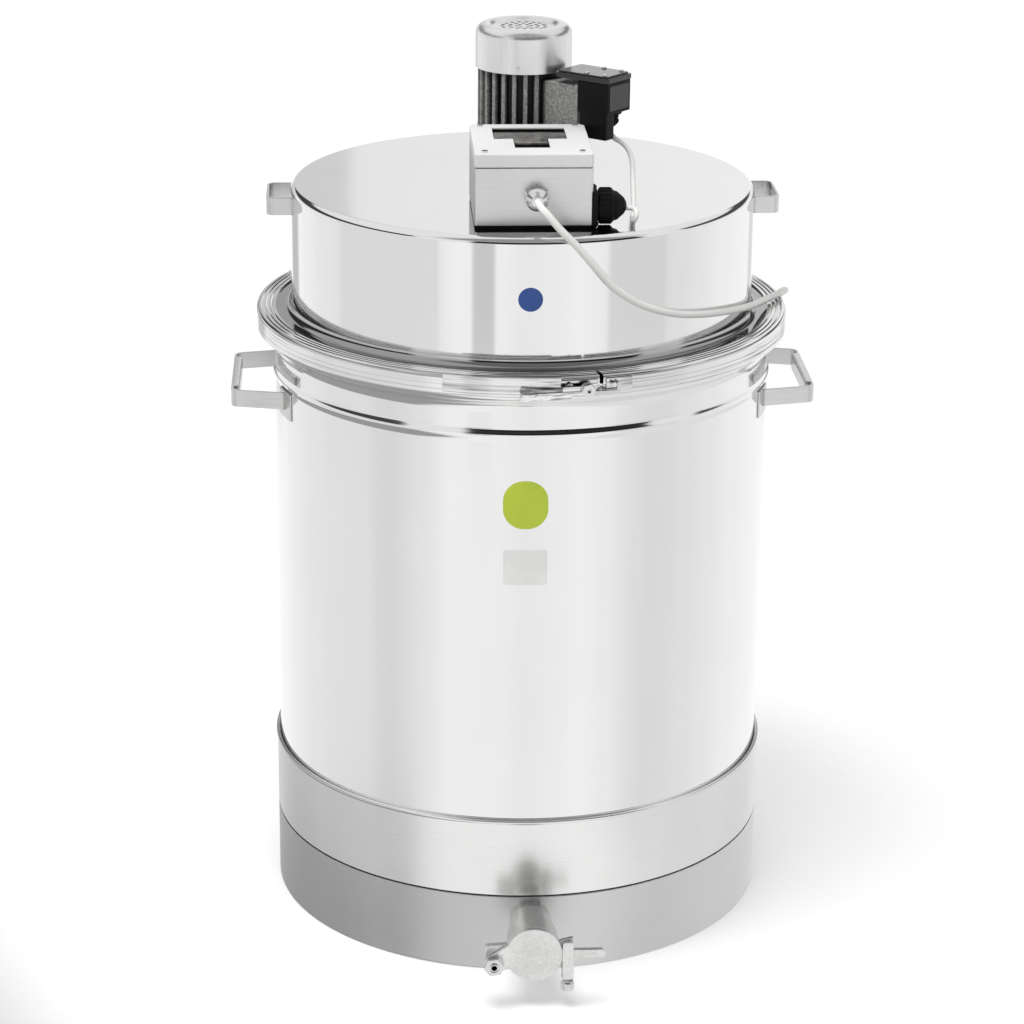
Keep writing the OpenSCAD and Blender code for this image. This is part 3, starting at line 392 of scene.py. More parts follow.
class Finish(Nodes):
    """A material built from nodes."""

    def __init__(self, name):
        self.material = bpy.data.materials.new(name)
        self.material.use_nodes = True
        super().__init__(self.material.node_tree)
        self.shader = self.tree.nodes["Principled BSDF"]
        self.spots = self.node("TexCoord", {}, {}, "Object")

    def set(self, **values):
        """Sockets of the shader itself."""
        self.fill(self.shader, {key.replace("_", " "): value for key, value in values.items()})

    def reach(self, flat=False):
        """Distance from the object's origin, or from its upright axis."""
        spots = self.spots
        if flat:
            spots = self.node("VectorMath", {"operation": "MULTIPLY"}, {0: spots, 1: (1, 1, 0)})
        return self.node("VectorMath", {"operation": "LENGTH"}, {0: spots}, "Value")

    def noise(self, scale, stretch=(1, 1, 1), detail=3.0, roughness=0.55, spots=None):
        """Clouded noise between 0 and 1, stretched along an axis where a grain needs it."""
        spots = self.node("Mapping", {}, {"Vector": spots or self.spots, "Scale": stretch})
        return self.node("TexNoise", {}, {"Vector": spots, "Scale": scale, "Detail": detail,
                                          "Roughness": roughness})

    def ramp(self, factor, stops):
        """Shades between stops."""
        return self.node("ValToRGB", {"stops": stops}, {0: factor})

    def band(self, value, low, high):
        """Spreads a value from 0 at low to 1 at high."""
        return self.node("MapRange", {}, {0: value, 1: low, 2: high})

    def mix(self, factor, first, second):
        """A colour between two."""
        pair = {6: first, 7: second}
        pair = {k: v if isinstance(v, Value) or len(v) == 4 else (*v, 1) for k, v in pair.items()}
        return self.node("Mix", {"data_type": "RGBA"}, {0: factor, **pair}, 2)

    def bump(self, height, distance, strength=1.0):
        """Relief, its distance in millimetres."""
        self.set(Normal=self.node("Bump", {}, {"Height": height, "Distance": distance * MM,
                                               "Strength": strength}, "Normal"))


def steel(name, shade, roughness, grain=(1, 1, 1), grain_scale=60.0, depth=0.01, waves=0.0,
          clouds=0.04, tint=(1.0, 1.0, 1.0), metal=1.0, sides=(), span=(0, -0.31, 0.31)):
    """Stainless sheet: a drawn grain, cloudy shine and slow waves in the sheet, with painted shade along one
    axis where sides are given.
    """
    look = Finish(name)
    lines = look.noise(grain_scale, grain, 4.0, 0.6)
    cloud = look.noise(7.0, (1, 1, 1), 3.0, 0.5)
    bright = tuple(min(1.0, shade * c) for c in tint)
    dull = tuple(c * (1 - 2 * clouds) for c in bright)
    skin = look.mix(look.band(lines * 0.35 + cloud * 0.65, 0.35, 0.65), dull, bright)
    # Painted shade: the sides stops darken the colour in bands along one object axis.
    if sides:
        across = look.axis(look.spots, span[0])
        fade = look.ramp(look.band(across, *span[1:]), [(spot, (s, s, s)) for spot, s in sides])
        skin = look.node("Mix", {"data_type": "RGBA", "blend_type": "MULTIPLY"},
                         {0: 1.0, 6: skin, 7: fade}, 2)
    look.set(Base_Color=skin,
             Metallic=metal, Roughness=cloud * (roughness * 0.5) + lines * (roughness * 0.4)
             + roughness * 0.55)
    height = lines * depth
    if waves:
        height = height + look.noise(3.2, (1, 1, 0.35), 1.0, 0.4) * waves
    look.bump(height, 1.0)
    return look.material


def cast(name, shade, dark, roughness, metallic=0.7, scale=260.0, depth=0.12):
    """A sand-cast or blasted metal skin: speckled and slightly pitted."""
    look = Finish(name)
    grains = look.noise(scale, (1, 1, 1), 5.0, 0.7)
    patches = look.noise(22.0, (1, 1, 1), 3.0, 0.6)
    look.set(Base_Color=look.mix(look.band(grains * 0.6 + patches * 0.4, 0.38, 0.62), dark, shade),
             Metallic=metallic, Roughness=grains * 0.25 + (roughness - 0.12))
    look.bump(grains * depth + patches * (depth * 0.6), 1.0)
    return look.material


SHADED_VALLEY_TO_CREST = (0.0485, 0.0535)  # where the motor's casting turns from black painted shade between the ribs to the bright crests


def ribbed(name, shade):
    """Cast ribs round an upright axis: speckled on the crests, with black painted shade between them."""
    look = Finish(name)
    crest = look.band(look.reach(flat=True), *SHADED_VALLEY_TO_CREST)
    grains = look.noise(420.0, (1, 1, 1), 5.0, 0.7)
    speckle = look.mix(look.band(grains, 0.4, 0.62), tuple(0.4 * c for c in shade), shade)
    look.set(Base_Color=look.mix(crest, (0.004, 0.004, 0.004), speckle), Metallic=0.0,
             Roughness=grains * 0.25 + 0.45)
    look.bump(grains * 0.3, 1.0)
    return look.material


def rolled(name, shade, dark, roughness):
    """Steel rolled round the tank's axis: fine dark lines that run round it and fade in and out."""
    look = Finish(name)
    radius, height = look.reach(flat=True), look.axis(look.spots, 2)
    along = look.noise(3.0, (1, 1, 1), 2.0, 0.5)
    lines = look.noise(430.0, (1, 1, 1), 3.0, 0.6, look.node(
        "CombineXYZ", {}, {0: radius, 1: along * 0.02, 2: height}))
    look.set(Base_Color=look.mix(look.band(lines * 0.8 + along * 0.3, 0.42, 0.60), dark, shade),
             Metallic=1.0, Roughness=lines * 0.12 + roughness)
    look.bump(lines * 0.02 + look.noise(3.2) * 0.3, 1.0)
    return look.material


NEAR_BLACK = 0.006  # shades below it also shine less


def moulded(name, shade, roughness, depth=0.02, scale=420.0, coat=0.0, spread=0.12):
    """Moulded plastic or rubber with a fine skin and faint handling marks."""
    look = Finish(name)
    skin = look.noise(scale, (1, 1, 1), 3.0, 0.6)
    marks = look.noise(14.0, (1, 1, 1), 4.0, 0.6)
    dull = tuple(min(1.0, c * (1 + spread) + 0.002) for c in shade)
    look.set(Base_Color=look.mix(look.band(marks, 0.4, 0.7), shade, dull),
             Roughness=marks * 0.18 + (roughness - 0.06) + skin * 0.06)
    if max(shade) < NEAR_BLACK:
        look.set(Specular_IOR_Level=0.15)
    if coat:
        look.set(Coat_Weight=coat, Coat_Roughness=0.15)
    look.bump(skin * depth, 1.0)
    return look.material


# ---------------------------------------------------------------- sizes and colours

def length(label, text, default):
    return FloatProperty(name=label, description=text, default=default, unit="LENGTH")


def colour(label, text, default):
    return FloatVectorProperty(name=label, description=text, default=default, size=3,
                               min=0.0, max=1.0, subtype="COLOR")


class MELTER_PG_tank(PropertyGroup):
    shell_radius: length("Shell radius", "Outside of the jacket's shell", 0.300)
    rim_height: length("Rim height", "Top of the flared rim over the floor", 0.738)
    flare: length("Flare", "How far the rim stands out from the shell", 0.018)
    bead_height: length("Bead height", "Middle of the pressed bead", 0.673)
    bead_proud: length("Bead depth", "How far the bead stands out", 0.0024)
    skirt_top: length("Skirt top", "Top edge of the lower base band", 0.096)
    band_top: length("Band top", "Top of the rolled edge of the upper base band", 0.196)
    handle_grip: length("Handle reach", "Outer face of a tank handle from the middle", 0.351)
    handle_base: length("Handle height", "Lower edge of the tank handles", 0.641)


class MELTER_PG_lid(PropertyGroup):
    radius: length("Lid radius", "Outside of the lid's wall", 0.278)
    top: length("Lid top", "Height of the lid's top", 0.898)
    edge: length("Edge", "Radius of the lid's rounded edge", 0.009)
    ring_radius: length("Ring radius", "Outside of the clamp ring", 0.3205)
    ring_top: length("Ring top", "Top of the clamp ring's lip", 0.7487)
    handle_grip: length("Handle reach", "Outer face of a lid handle from the middle", 0.306)
    handle_base: length("Handle height", "Lower edge of the lid handles", 0.866)


class MELTER_PG_drive(PropertyGroup):
    fins: IntProperty(name="Fins", description="Cooling fins of the motor housing", default=25)
    fin_radius: length("Fin radius", "Tips of the cooling fins", 0.0545)
    fin_base: length("Fin base", "Lower end of the fins", 0.968)
    cowl_radius: length("Cowl radius", "Outside of the fan cowl", 0.057)
    cowl_top: length("Cowl top", "Top of the fan cowl", 1.088)
    box_turn: FloatProperty(name="Terminal box turn", description="Direction of the terminal box",
                            default=math.radians(-40), subtype="ANGLE")


class MELTER_PG_looks(PropertyGroup):
    steel: colour("Bright steel", "Polished sheet of the tank and lid", (0.90, 0.90, 0.895))
    satin: colour("Satin steel", "Drawn sheet of the base bands", (0.66, 0.66, 0.655))
    cable: colour("Cable", "Sheath of both cables", (0.80, 0.80, 0.78))
    blue_dot: colour("Blue dot", "Blank round sticker on the lid", (0.006, 0.055, 0.26))
    green_dot: colour("Green sticker", "Blank sticker on the tank", (0.50, 0.62, 0.03))
    cast: colour("Motor casting", "Ridges of the motor's casting", (0.36, 0.36, 0.35))
    stickers: BoolProperty(name="Stickers", description="Adds the blank stickers", default=True)


class MELTER_PG_sizes(PropertyGroup):
    tank: PointerProperty(type=MELTER_PG_tank, name="Tank", description="Sizes of the tank")
    lid: PointerProperty(type=MELTER_PG_lid, name="Lid", description="Sizes of the lid")
    drive: PointerProperty(type=MELTER_PG_drive, name="Drive", description="Sizes of the motor")
    looks: PointerProperty(type=MELTER_PG_looks, name="Looks", description="Colours")


SHELF = {  # each finish: its maker and what the maker is told; a size group's colour goes by name
    "bright": (steel, "bright steel", 1.0, 0.10, (1, 1, 0.02), 90.0, 0.004, 0.25, 0.012, "steel"),
    # lid: its sides paint shade, darker over the foot flange and the cove above it.
    "lid": (steel, "lid steel", 1.0, 0.07, (1, 1, 0.03), 80.0, 0.002, 0.2, 0.015, "steel",
            {"sides": [(0, 0.36), (0.4, 0.42), (1, 1)], "span": (2, 0.744, 0.762)}),
    "ring": (rolled, "ring steel", (0.88, 0.88, 0.875), (0.30, 0.30, 0.30), 0.05),
    # satin and band: their sides paint shade and reflection along X, darker towards the left, and the band
    # also towards the right.
    "satin": (steel, "satin steel", 1.14, 0.34, (0.02, 0.02, 1), 700.0, 0.02, 0.1, 0.05, "satin",
              {"sides": [(0, 0.46), (0.03, 0.55), (0.1, 0.71), (0.2, 0.84), (0.35, 0.84),
                         (0.5, 0.89), (0.62, 1), (0.85, 0.98), (1, 0.9)]}),
    "band": (steel, "band steel", 1.42, 0.24, (0.02, 0.02, 1), 700.0, 0.02, 0.15, 0.05, "satin",
             {"sides": [(0, 0.52), (0.03, 0.56), (0.1, 0.8), (0.2, 0.95), (0.3, 1), (0.75, 1),
                        (0.87, 0.86), (0.95, 0.73), (1, 0.7)]}),
    "handle": (steel, "handle steel", 0.78, 0.30, (0.1, 0.1, 1), 500.0, 0.03, 0.0, 0.12),
    "hood": (steel, "hood steel", 0.80, 0.36, (0.03, 1, 1), 700.0, 0.03, 0.1, 0.08),
    "hood top": (steel, "blasted steel", 0.80, 0.75, (1, 1, 1), 500.0, 0.03, 0.0, 0.06,
                 {"metal": 0.2}),
    "cowl": (steel, "cowl steel", 0.93, 0.3, (1, 1, 0.1), 160.0, 0.05, 0.3, 0.10, {"metal": 0.92}),
    "weld": (steel, "weld steel", 0.72, 0.30, (1, 1, 1), 300.0, 0.03, 0.0, 0.10, (1, 0.98, 0.94)),
    "bolt": (steel, "bolt steel", 0.82, 0.22, (1, 1, 0.2), 400.0, 0.01, 0.0, 0.06),
    "inside": (steel, "vessel steel", 0.74, 0.24, (1, 1, 0.03), 120.0, 0.008, 0.1, 0.03),
    "gear": (steel, "gear steel", 0.60, 0.28, (1, 1, 0.2), 300.0, 0.01, 0.0, 0.08, (1, 0.97, 0.9)),
    "outlet": (cast, "outlet casting", (0.95, 0.95, 0.94), (0.70, 0.70, 0.69), 0.34, 0.9, 420.0,
               0.05),
    "cast": (ribbed, "motor casting", "cast"),
    "rail": (cast, "rail steel", (0.43, 0.42, 0.4), (0.09, 0.09, 0.085), 0.42, 0.6, 90.0, 0.25),
    "gearbox": (cast, "gearbox casting", (0.34, 0.34, 0.33), (0.10, 0.10, 0.10), 0.5, 0.5, 300.0,
                0.15),
    "winding": (cast, "copper winding", (0.62, 0.26, 0.10), (0.30, 0.10, 0.04), 0.4, 0.8, 500.0,
                0.1),
    "element": (cast, "heater sheath", (0.30, 0.28, 0.26), (0.16, 0.15, 0.15), 0.5, 0.8, 300.0,
                0.05),
    "brass": (cast, "brass cock", (0.62, 0.44, 0.15), (0.48, 0.32, 0.10), 0.34, 1.0, 240.0, 0.05),
    "black": (moulded, "black moulding", (0.004, 0.004, 0.004), 0.5, 0.03, 500.0),
    "rubber": (moulded, "seal rubber", (0.003, 0.003, 0.003), 0.7, 0.05, 380.0),
    "terminal": (moulded, "terminal lacquer", (0.003, 0.003, 0.003), 0.36, 0.03, 600.0),
    "cover": (moulded, "cover lacquer", (0.004, 0.004, 0.004), 0.2, 0.02, 600.0, 1.0),
    # panel: grey painted light for the lit right face of the black terminal box
    "panel": (moulded, "panel lacquer", (0.045, 0.045, 0.046), 0.4, 0.03, 500.0),
    "cable": (moulded, "cable sheath", "cable", 0.38, 0.02, 300.0, 0.15, 0.03),
    "red": (moulded, "red lever", (0.52, 0.018, 0.012), 0.35, 0.02, 300.0, 0.2),
    "green": (moulded, "green lens", (0.02, 0.45, 0.06), 0.16, 0.01, 300.0, 0.5),
    "amber": (moulded, "amber lens", (0.85, 0.33, 0.02), 0.16, 0.01, 300.0, 0.5),
    "blue dot": (moulded, "blue sticker", "blue_dot", 0.34, 0.01, 200.0, 0.3),
    "green dot": (moulded, "green sticker", "green_dot", 0.34, 0.01, 200.0, 0.3),
    "white tag": (moulded, "white sticker", (0.86, 0.86, 0.85), 0.40, 0.01, 200.0, 0.2),
}
FINISHES = {}


def finish_named(name):
    """A finish from the shelf, made the first time that it is asked for."""
    if name not in FINISHES:
        looks = bpy.context.scene.melter.looks
        maker, title, *values = SHELF[name]
        settings = values.pop() if isinstance(values[-1], dict) else {}
        values = [tuple(getattr(looks, v)) if isinstance(v, str) else v for v in values]
        FINISHES[name] = maker(title, *values, **settings)
    return FINISHES[name]


# ---------------------------------------------------------------- camera, light and cables

class MELTER_OT_camera(Operator):
    """Sets the camera where the melter is seen from"""
    bl_idname = "melter.camera"
    bl_label = "Camera"

    def execute(self, context):
        let_go()
        heading, pitch, roll = math.radians(3.06), math.radians(19.455), math.radians(0.492)
        bpy.ops.object.camera_add(location=(-0.2068, -3.6981, 1.7842))
        camera = context.object
        ahead = Vector((math.sin(heading) * math.cos(pitch), math.cos(heading) * math.cos(pitch),
                        -math.sin(pitch)))
        level = Vector((math.cos(heading), -math.sin(heading), 0))
        rise = level.cross(ahead)
        right = level * math.cos(roll) + rise * math.sin(roll)
        upward = rise * math.cos(roll) - level * math.sin(roll)
        turn = Matrix((right, upward, -ahead)).transposed()
        camera.matrix_world = Matrix.Translation(camera.location) @ turn.to_4x4()
        camera.data.lens = 111.07
        camera.data.sensor_width = 36
        camera.data.clip_end = 40
        context.scene.camera = camera
        return {"FINISHED"}


LID_CABLE = [
    (3, -260, 935), (3.5, -268, 934.5), (7, -276, 931), (15, -281.5, 923), (28, -282.5, 908),
    (43.5, -280.5, 892), (61, -277, 872), (73, -274, 857.5), (87, -270, 841), (102, -264.5, 828),
    (121, -256.5, 815), (145, -244, 803.5), (169, -228, 795), (195, -206, 788.5),
    (222, -177, 782.5), (246, -142, 776), (266, -102, 768.5), (283, -58, 760.5),
    (297, -24, 755.5), (310, -2, 754.2), (321, 20, 753), (328, 45, 747), (325, 73, 734),
    (316, 101, 715), (303, 128, 692), (286, 154, 664), (270, 179.5, 631), (252, 204, 592),
    (232, 226, 548), (210.5, 246.5, 500), (185.5, 265.5, 452), (156.5, 283.5, 407), (125, 300, 367),
    (97, 321, 333), (74, 337, 306), (58, 346, 283), (51, 349.5, 268), (50, 350, 258)]
MOTOR_CABLE = [
    (98.6, -72.3, 978), (99.4, -72.6, 971), (103.5, -74.5, 965.5), (110, -77, 962),
    (116.5, -80.5, 957), (121, -85, 950), (123.2, -91, 941), (123.4, -98, 931), (123, -109, 921),
    (122, -126, 911), (120.5, -150, 904.5), (118, -178, 902.6), (115, -203, 902.6),
    (113.5, -221, 903.5), (114.5, -231, 906.5), (116, -234, 912), (116, -230, 917),
    (113, -221, 918), (106, -216, 917)]


def lay_cable(name, stops, radius):
    """A cable as one smooth spline through its stops."""
    let_go()
    bpy.ops.curve.primitive_bezier_curve_add()
    cable = named(bpy.context.object, name)
    line = cable.data
    line.splines.clear()
    spline = line.splines.new("BEZIER")
    spline.bezier_points.add(len(stops) - 1)
    places = [point(*stop) for stop in stops]
    for i, spot in enumerate(spline.bezier_points):
        before, after = places[max(i - 1, 0)], places[min(i + 1, len(places) - 1)]
        slope = (after - before) / 6
        spot.handle_left_type = spot.handle_right_type = "FREE"
        spot.co = places[i]
        spot.handle_left = places[i] - slope
        spot.handle_right = places[i] + slope
    line.dimensions = "3D"
    line.resolution_u = 8
    line.bevel_depth = radius * MM
    line.bevel_resolution = 4
    line.use_fill_caps = True
    line.materials.append(finish_named("cable"))
    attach(cable, "lid")
    return cable, spline.calc_length(resolution=32)


class MELTER_OT_cables(Operator):
    """Lays the lid's cable and the motor's cable"""
    bl_idname = "melter.cables"
    bl_label = "Cables"

    def execute(self, context):
        cable, run = lay_cable("hood_to_tank_cable", LID_CABLE, 4.3)
        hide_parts("lid_cable")
        cable, run = lay_cable("motor_to_hood_cable", MOTOR_CABLE, 3)
        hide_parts("motor_cable")
        return {"FINISHED"}


GLOW = [  # brightness of the studio by direction in degrees, from behind round by the left
    (-180, 1.04), (-150, 1.00), (-135, 0.93), (-118, 0.87), (-99, 0.835), (-79, 0.82), (-72, 0.76),
    (-65, 0.74), (-59, 0.785), (-50, 0.845), (-34, 0.96), (-15, 0.95), (0, 0.90), (14, 0.93),
    (25, 0.965), (40, 0.915), (46, 0.86), (52, 0.81), (59, 0.777), (66, 0.78), (81, 0.82),
    (95, 0.87), (113, 0.94), (133, 0.98), (160, 1.02), (180, 1.04)]


CARDS = [  # left, right, low and high edge in degrees, softness, and brightness
    (-200, 200, 4, 100, 6, 0.84), (-200, -160, 4, 32, 8, 0.66), (140, 176, 4, 32, 7, 0.93),
    (-104, -44, -17, 4, 1.6, 0.77), (40, 72, -17, 4, 1.6, 0.72), (-27, -16, -17, 4, 1.0, 0.62),
    (-28, 58, 7, 33, 2.5, 0.02), (-50, 64, 34, 88, 12, 0.30), (-166, -58, 11, 27, 3, 0.05),
    (84, 160, 11, 27, 3, 0.07), (-166, -150, -17, 4, 3, 0.55), (150, 162, -17, 4, 3, 0.75),
    (-172, -52, -90, -26.5, 5, 0.34), (62, 150, -90, -26.5, 4, 0.80)]


class MELTER_OT_studio(Operator):
    """Puts up the white studio: a soft sky, a large overhead light and a pale floor"""
    bl_idname = "melter.studio"
    bl_label = "Studio"

    def execute(self, context):
        scene = context.scene
        scene.view_settings.view_transform = "Standard"
        world = scene.world or bpy.data.worlds.new("studio")
        scene.world = world
        world.use_nodes = True
        sky = Nodes(world.node_tree)
        shader = sky.tree.nodes["Background"]
        shader.inputs["Strength"].default_value = 1.0
        ahead = sky.node("TexCoord", {}, {}, "Generated")
        turn = sky.node("Math", {"operation": "ARCTAN2"},
                        {0: sky.axis(ahead, 0), 1: sky.axis(ahead, 1) * -1.0})
        tilt = sky.node("Math", {"operation": "ARCSINE"}, {0: sky.axis(ahead, 2)})
        share = sky.node("MapRange", {}, {0: turn, 1: -math.pi, 2: math.pi})
        stops = [((angle + 180) / 360, (glow, glow, glow)) for angle, glow in GLOW]
        shade = sky.node("ValToRGB", {"stops": stops}, {0: share})
        shade.socket.node.color_ramp.interpolation = "EASE"

        def between(value, first, last, soft):
            rise, fall = [sky.node("MapRange", {"interpolation_type": "SMOOTHSTEP"},
                                   {0: value, 1: math.radians(edge - width),
                                    2: math.radians(edge + width)})
                          for edge, width in ((first, soft), (last, -soft))]
            return rise * fall

        for left, right, low, high, soft, glow in CARDS:
            card = between(turn, left, right, soft) * between(tilt, low, high, soft / 2)
            shade = sky.node("Mix", {"data_type": "RGBA"}, {0: card, 6: shade, 7: (glow, glow, glow, 1)}, 2)
        sky.fill(shader, {"Color": shade})

        let_go()
        bpy.ops.object.light_add(type="AREA", location=(-0.5, -0.9, 3.0))
        lamp = context.object
        lamp.name = "overhead_softbox"
        lamp.visible_glossy = False
        lamp.data.shape = "RECTANGLE"
        lamp.data.size, lamp.data.size_y = 1.6, 1.2
        lamp.data.energy = 46
        lamp.rotation_euler = (Vector((0, 0, 0.6)) - lamp.location).to_track_quat("-Z", "Y").to_euler()

        floor = lathe("floor", [(0, -0.4), (2600, -0.4)], 96, closed=False)
        look = Finish("floor paper")
        fade = look.node("MapRange", {"interpolation_type": "SMOOTHSTEP"},
                         {0: look.reach(), 1: 0.45, 2: 0.80})
        grain = look.noise(40.0)
        look.set(Base_Color=look.mix(grain, (0.985, 0.985, 0.985), (0.995, 0.995, 0.995)), Roughness=0.9,
                 Emission_Color=(1, 1, 1, 1), Emission_Strength=0.22)
        paper = look.node("MixShader", {}, {0: fade, 1: Value(look, look.shader.outputs[0]),
                                            2: look.node("BsdfTransparent", {}, {})})
        look.fill(look.tree.nodes["Material Output"], {"Surface": paper})
        floor.data.materials.append(look.material)
        floor.visible_glossy = False
        return {"FINISHED"}


# ---------------------------------------------------------------- tank

STRIP = 21.0  # height of the strip that the handles are bent from

def flare_path(s, inset):
    """The rim's outward sweep, from the shell to its widest edge."""
    wall, rim, out = mm(s, "shell_radius", "rim_height", "flare")
    half_x, half_z = out / 2, 15.0
    radius = (half_x ** 2 + half_z ** 2) / (2 * half_x)
    sweep = math.degrees(math.asin(half_z / radius))
    low = arc(wall + radius - inset, rim - 38, radius, 180, 180 - sweep, 12)
    high = arc(wall + out - radius - inset, rim - 8, radius, -sweep, 0, 12)
    return low + high[1:]


def bead_path(s):
    """The pressed bead, swelling gently out of the wall."""
    wall, mid, out = mm(s, "shell_radius", "bead_height", "bead_proud")
    return [(wall + out * 0.5 * (1 + math.cos(math.pi * t / 12)), mid + 8.5 * t / 12)
            for t in range(-12, 13)]


class MELTER_OT_tank_shell(Operator):
    """Spins the tank's outer shell with its bead and flared rim"""
    bl_idname = "melter.tank_shell"
    bl_label = "Tank shell"

    def execute(self, context):
        s = context.scene.melter.tank
        wall, rim, flare = mm(s, "shell_radius", "rim_height", "flare")
        edge = wall + flare
        profile = ([(wall - 2, 4), (wall, 4), (wall, 300), (wall, 620)] + bead_path(s)
                   + flare_path(s, 0) + [(edge, rim - 0.6), (edge - 0.6, rim), (edge - 2, rim)]
                   + flare_path(s, 2)[::-1])
        shell = lathe("tank_shell", profile, 256)
        pad = lathe("heater_pad", rounded([(8, 0), (30, 0, 1), (30, 14, 1.5), (8, 14)], 3), 64)
        stand(pad, (0, 292, 43), (0, 1, 0))
        sleeve = lathe("neck_pad", rounded([(14.2, 0), (24, 0), (20, 3.5, 2), (14.2, 4.5, 1)], 3), 48)
        stand(sleeve, around(225, wall - 1, 600), Vector(around(225, 1, 0)))
        finish(join("tank_shell", shell, pad, sleeve), "tank",
               "bright", ["outer_shell"])
        return {"FINISHED"}


class MELTER_OT_base(Operator):
    """Spins the base pan and the upper band with its rolled edge"""
    bl_idname = "melter.base"
    bl_label = "Base bands"

    def execute(self, context):
        skirt, top = mm(context.scene.melter.tank, "skirt_top", "band_top")
        profile = ([(0, 0)] + rounded([(0, 0), (304, 0, 1.6), (304, skirt, 0.7), (302, skirt, 0.5),
                                       (302, 2, 1), (0, 2)], 4, closed=False)[1:])
        pan = lathe("base_pan", profile, 192, closed=False)
        finish(pan, "tank", "satin", ["base_pan"])
        low = skirt + 2
        profile = (rounded([(300.2, low), (304, low, 0.9), (304, top - 6)], 4, closed=False)
                   + arc(302.9, top - 2.6, 2.6, -50, 175, 14)
                   + [(300.25, top - 4.5), (301.6, top - 6.2), (302, top - 8), (302, low + 2),
                      (300.2, low + 2)])
        band = lathe("upper_band", profile, 256)
        finish(band, "tank", "band", ["base_band"])
        return {"FINISHED"}


def handle_path(grip, half, foot_x, foot_y, bend):
    """The line of a bent handle, from one foot round to the other."""
    corners = [(foot_x, -foot_y), (grip, -half, bend), (grip, half, bend), (foot_x, foot_y)]
    return rounded(corners, 8, closed=False)


def pair_of_handles(body, pieces, seams):
    """Finishes a body's right handle and its weld beads, and mirrors both to the left."""
    for name, parts, look, flat in (("handle", pieces, "handle", True),
                                    ("handle_welds", seams, "weld", False)):
        stands_for = [body + "_handles"] if flat else []
        right = join(f"{body}_{name}_right", *parts)
        left = named(copied(right, MIRROR), f"{body}_{name}_left")
        for piece in (right, left):
            finish(piece, body, look, stands_for, flat=flat)


class MELTER_OT_tank_handles(Operator):
    """Bends the two tank handles and welds them to their curved pads"""
    bl_idname = "melter.tank_handles"
    bl_label = "Tank handles"

    def execute(self, context):
        wall, grip, low = mm(context.scene.melter.tank, "shell_radius", "handle_grip", "handle_base")
        foot, half, high = 93.0, 78.0, low + STRIP
        foot_x = math.sqrt(wall ** 2 - foot ** 2) + 1.8
        path = handle_path(grip, half, foot_x, foot, 11)
        loop = strap("loop", path, low, high, 3, 0.7, side=-1.0)
        pads, seams = [], []
        turn = math.degrees(math.asin(foot / wall))
        for sign in (-1, 1):
            pad = lathe("pad", [(wall + 0.1, low - 9), (wall + 2.1, low - 9), (wall + 2.1, low + 24),
                                (wall + 0.1, low + 24)], 10, start=90 + sign * turn - 4, sweep=8)
            pads.append(ease(pad, 0.7, 2))
            for offset in (-2.4, 2.4):
                path = [(foot_x + 0.9 - abs(offset) * 0.1, sign * (foot - 0.6) + offset,
                         low + 0.8 + 19.6 * i / 26) for i in range(27)]
                seams.append(weld(path, 1.3))
        sleeve = block("sleeve", grip - 10, grip + 0.4, -61, 61, low - 0.4, high + 0.4, 3.6, 5)
        pair_of_handles("tank", [loop, sleeve, *pads], seams)
        return {"FINISHED"}


class MELTER_OT_stickers(Operator):
    """Lays the blank stickers on the tank and on the lid"""
    bl_idname = "melter.stickers"
    bl_label = "Blank stickers"

    def execute(self, context):
        c = context.scene.melter
        if not c.looks.stickers:
            return {"FINISHED"}
        (shell,), (lid,) = mm(c.tank, "shell_radius"), mm(c.lid, "radius")
        marks = [
            ("blue_sticker", arc(-5, 827, 14, 0, 360, 40)[:-1], lid, "lid", "blue dot"),
            ("green_sticker", rounded(frame_of(-35.5, 16.5, 561, 619, 24), 10), shell, "tank", "green dot"),
            ("white_tag", rounded(frame_of(-35, 16, 492.5, 535.5, 3), 4), shell, "tank", "white tag")]
        for name, outline, radius, body, look in marks:
            sticker = wire(name, [point(x, -radius - 20, z) for x, z in outline], filled=True)
            for axis, normal in enumerate(((1, 0, 0), (0, 0, 1))):
                low, high = min(p[axis] for p in outline), max(p[axis] for p in outline)
                for i in range(1, 10):
                    bpy.ops.mesh.select_all(action="SELECT")
                    bpy.ops.mesh.bisect(plane_co=Vector(normal) * (low + (high - low) * i / 10) * MM,
                                        plane_no=normal)
            bpy.ops.object.mode_set(mode="OBJECT")
            wall = lathe("guide", [(radius, 400), (radius, 900)], 720, closed=False)
            apply(sticker, "SHRINKWRAP", target=wall, wrap_method="PROJECT", use_project_y=True,
                  use_project_z=False, use_negative_direction=True, use_positive_direction=True,
                  offset=0.12 * MM)
            bpy.data.objects.remove(wall)
            apply(sticker, "SOLIDIFY", thickness=0.12 * MM, offset=1.0)
            finish(sticker, body, look, flat=False)
        return {"FINISHED"}


# ---------------------------------------------------------------- lid, clamp ring and latch

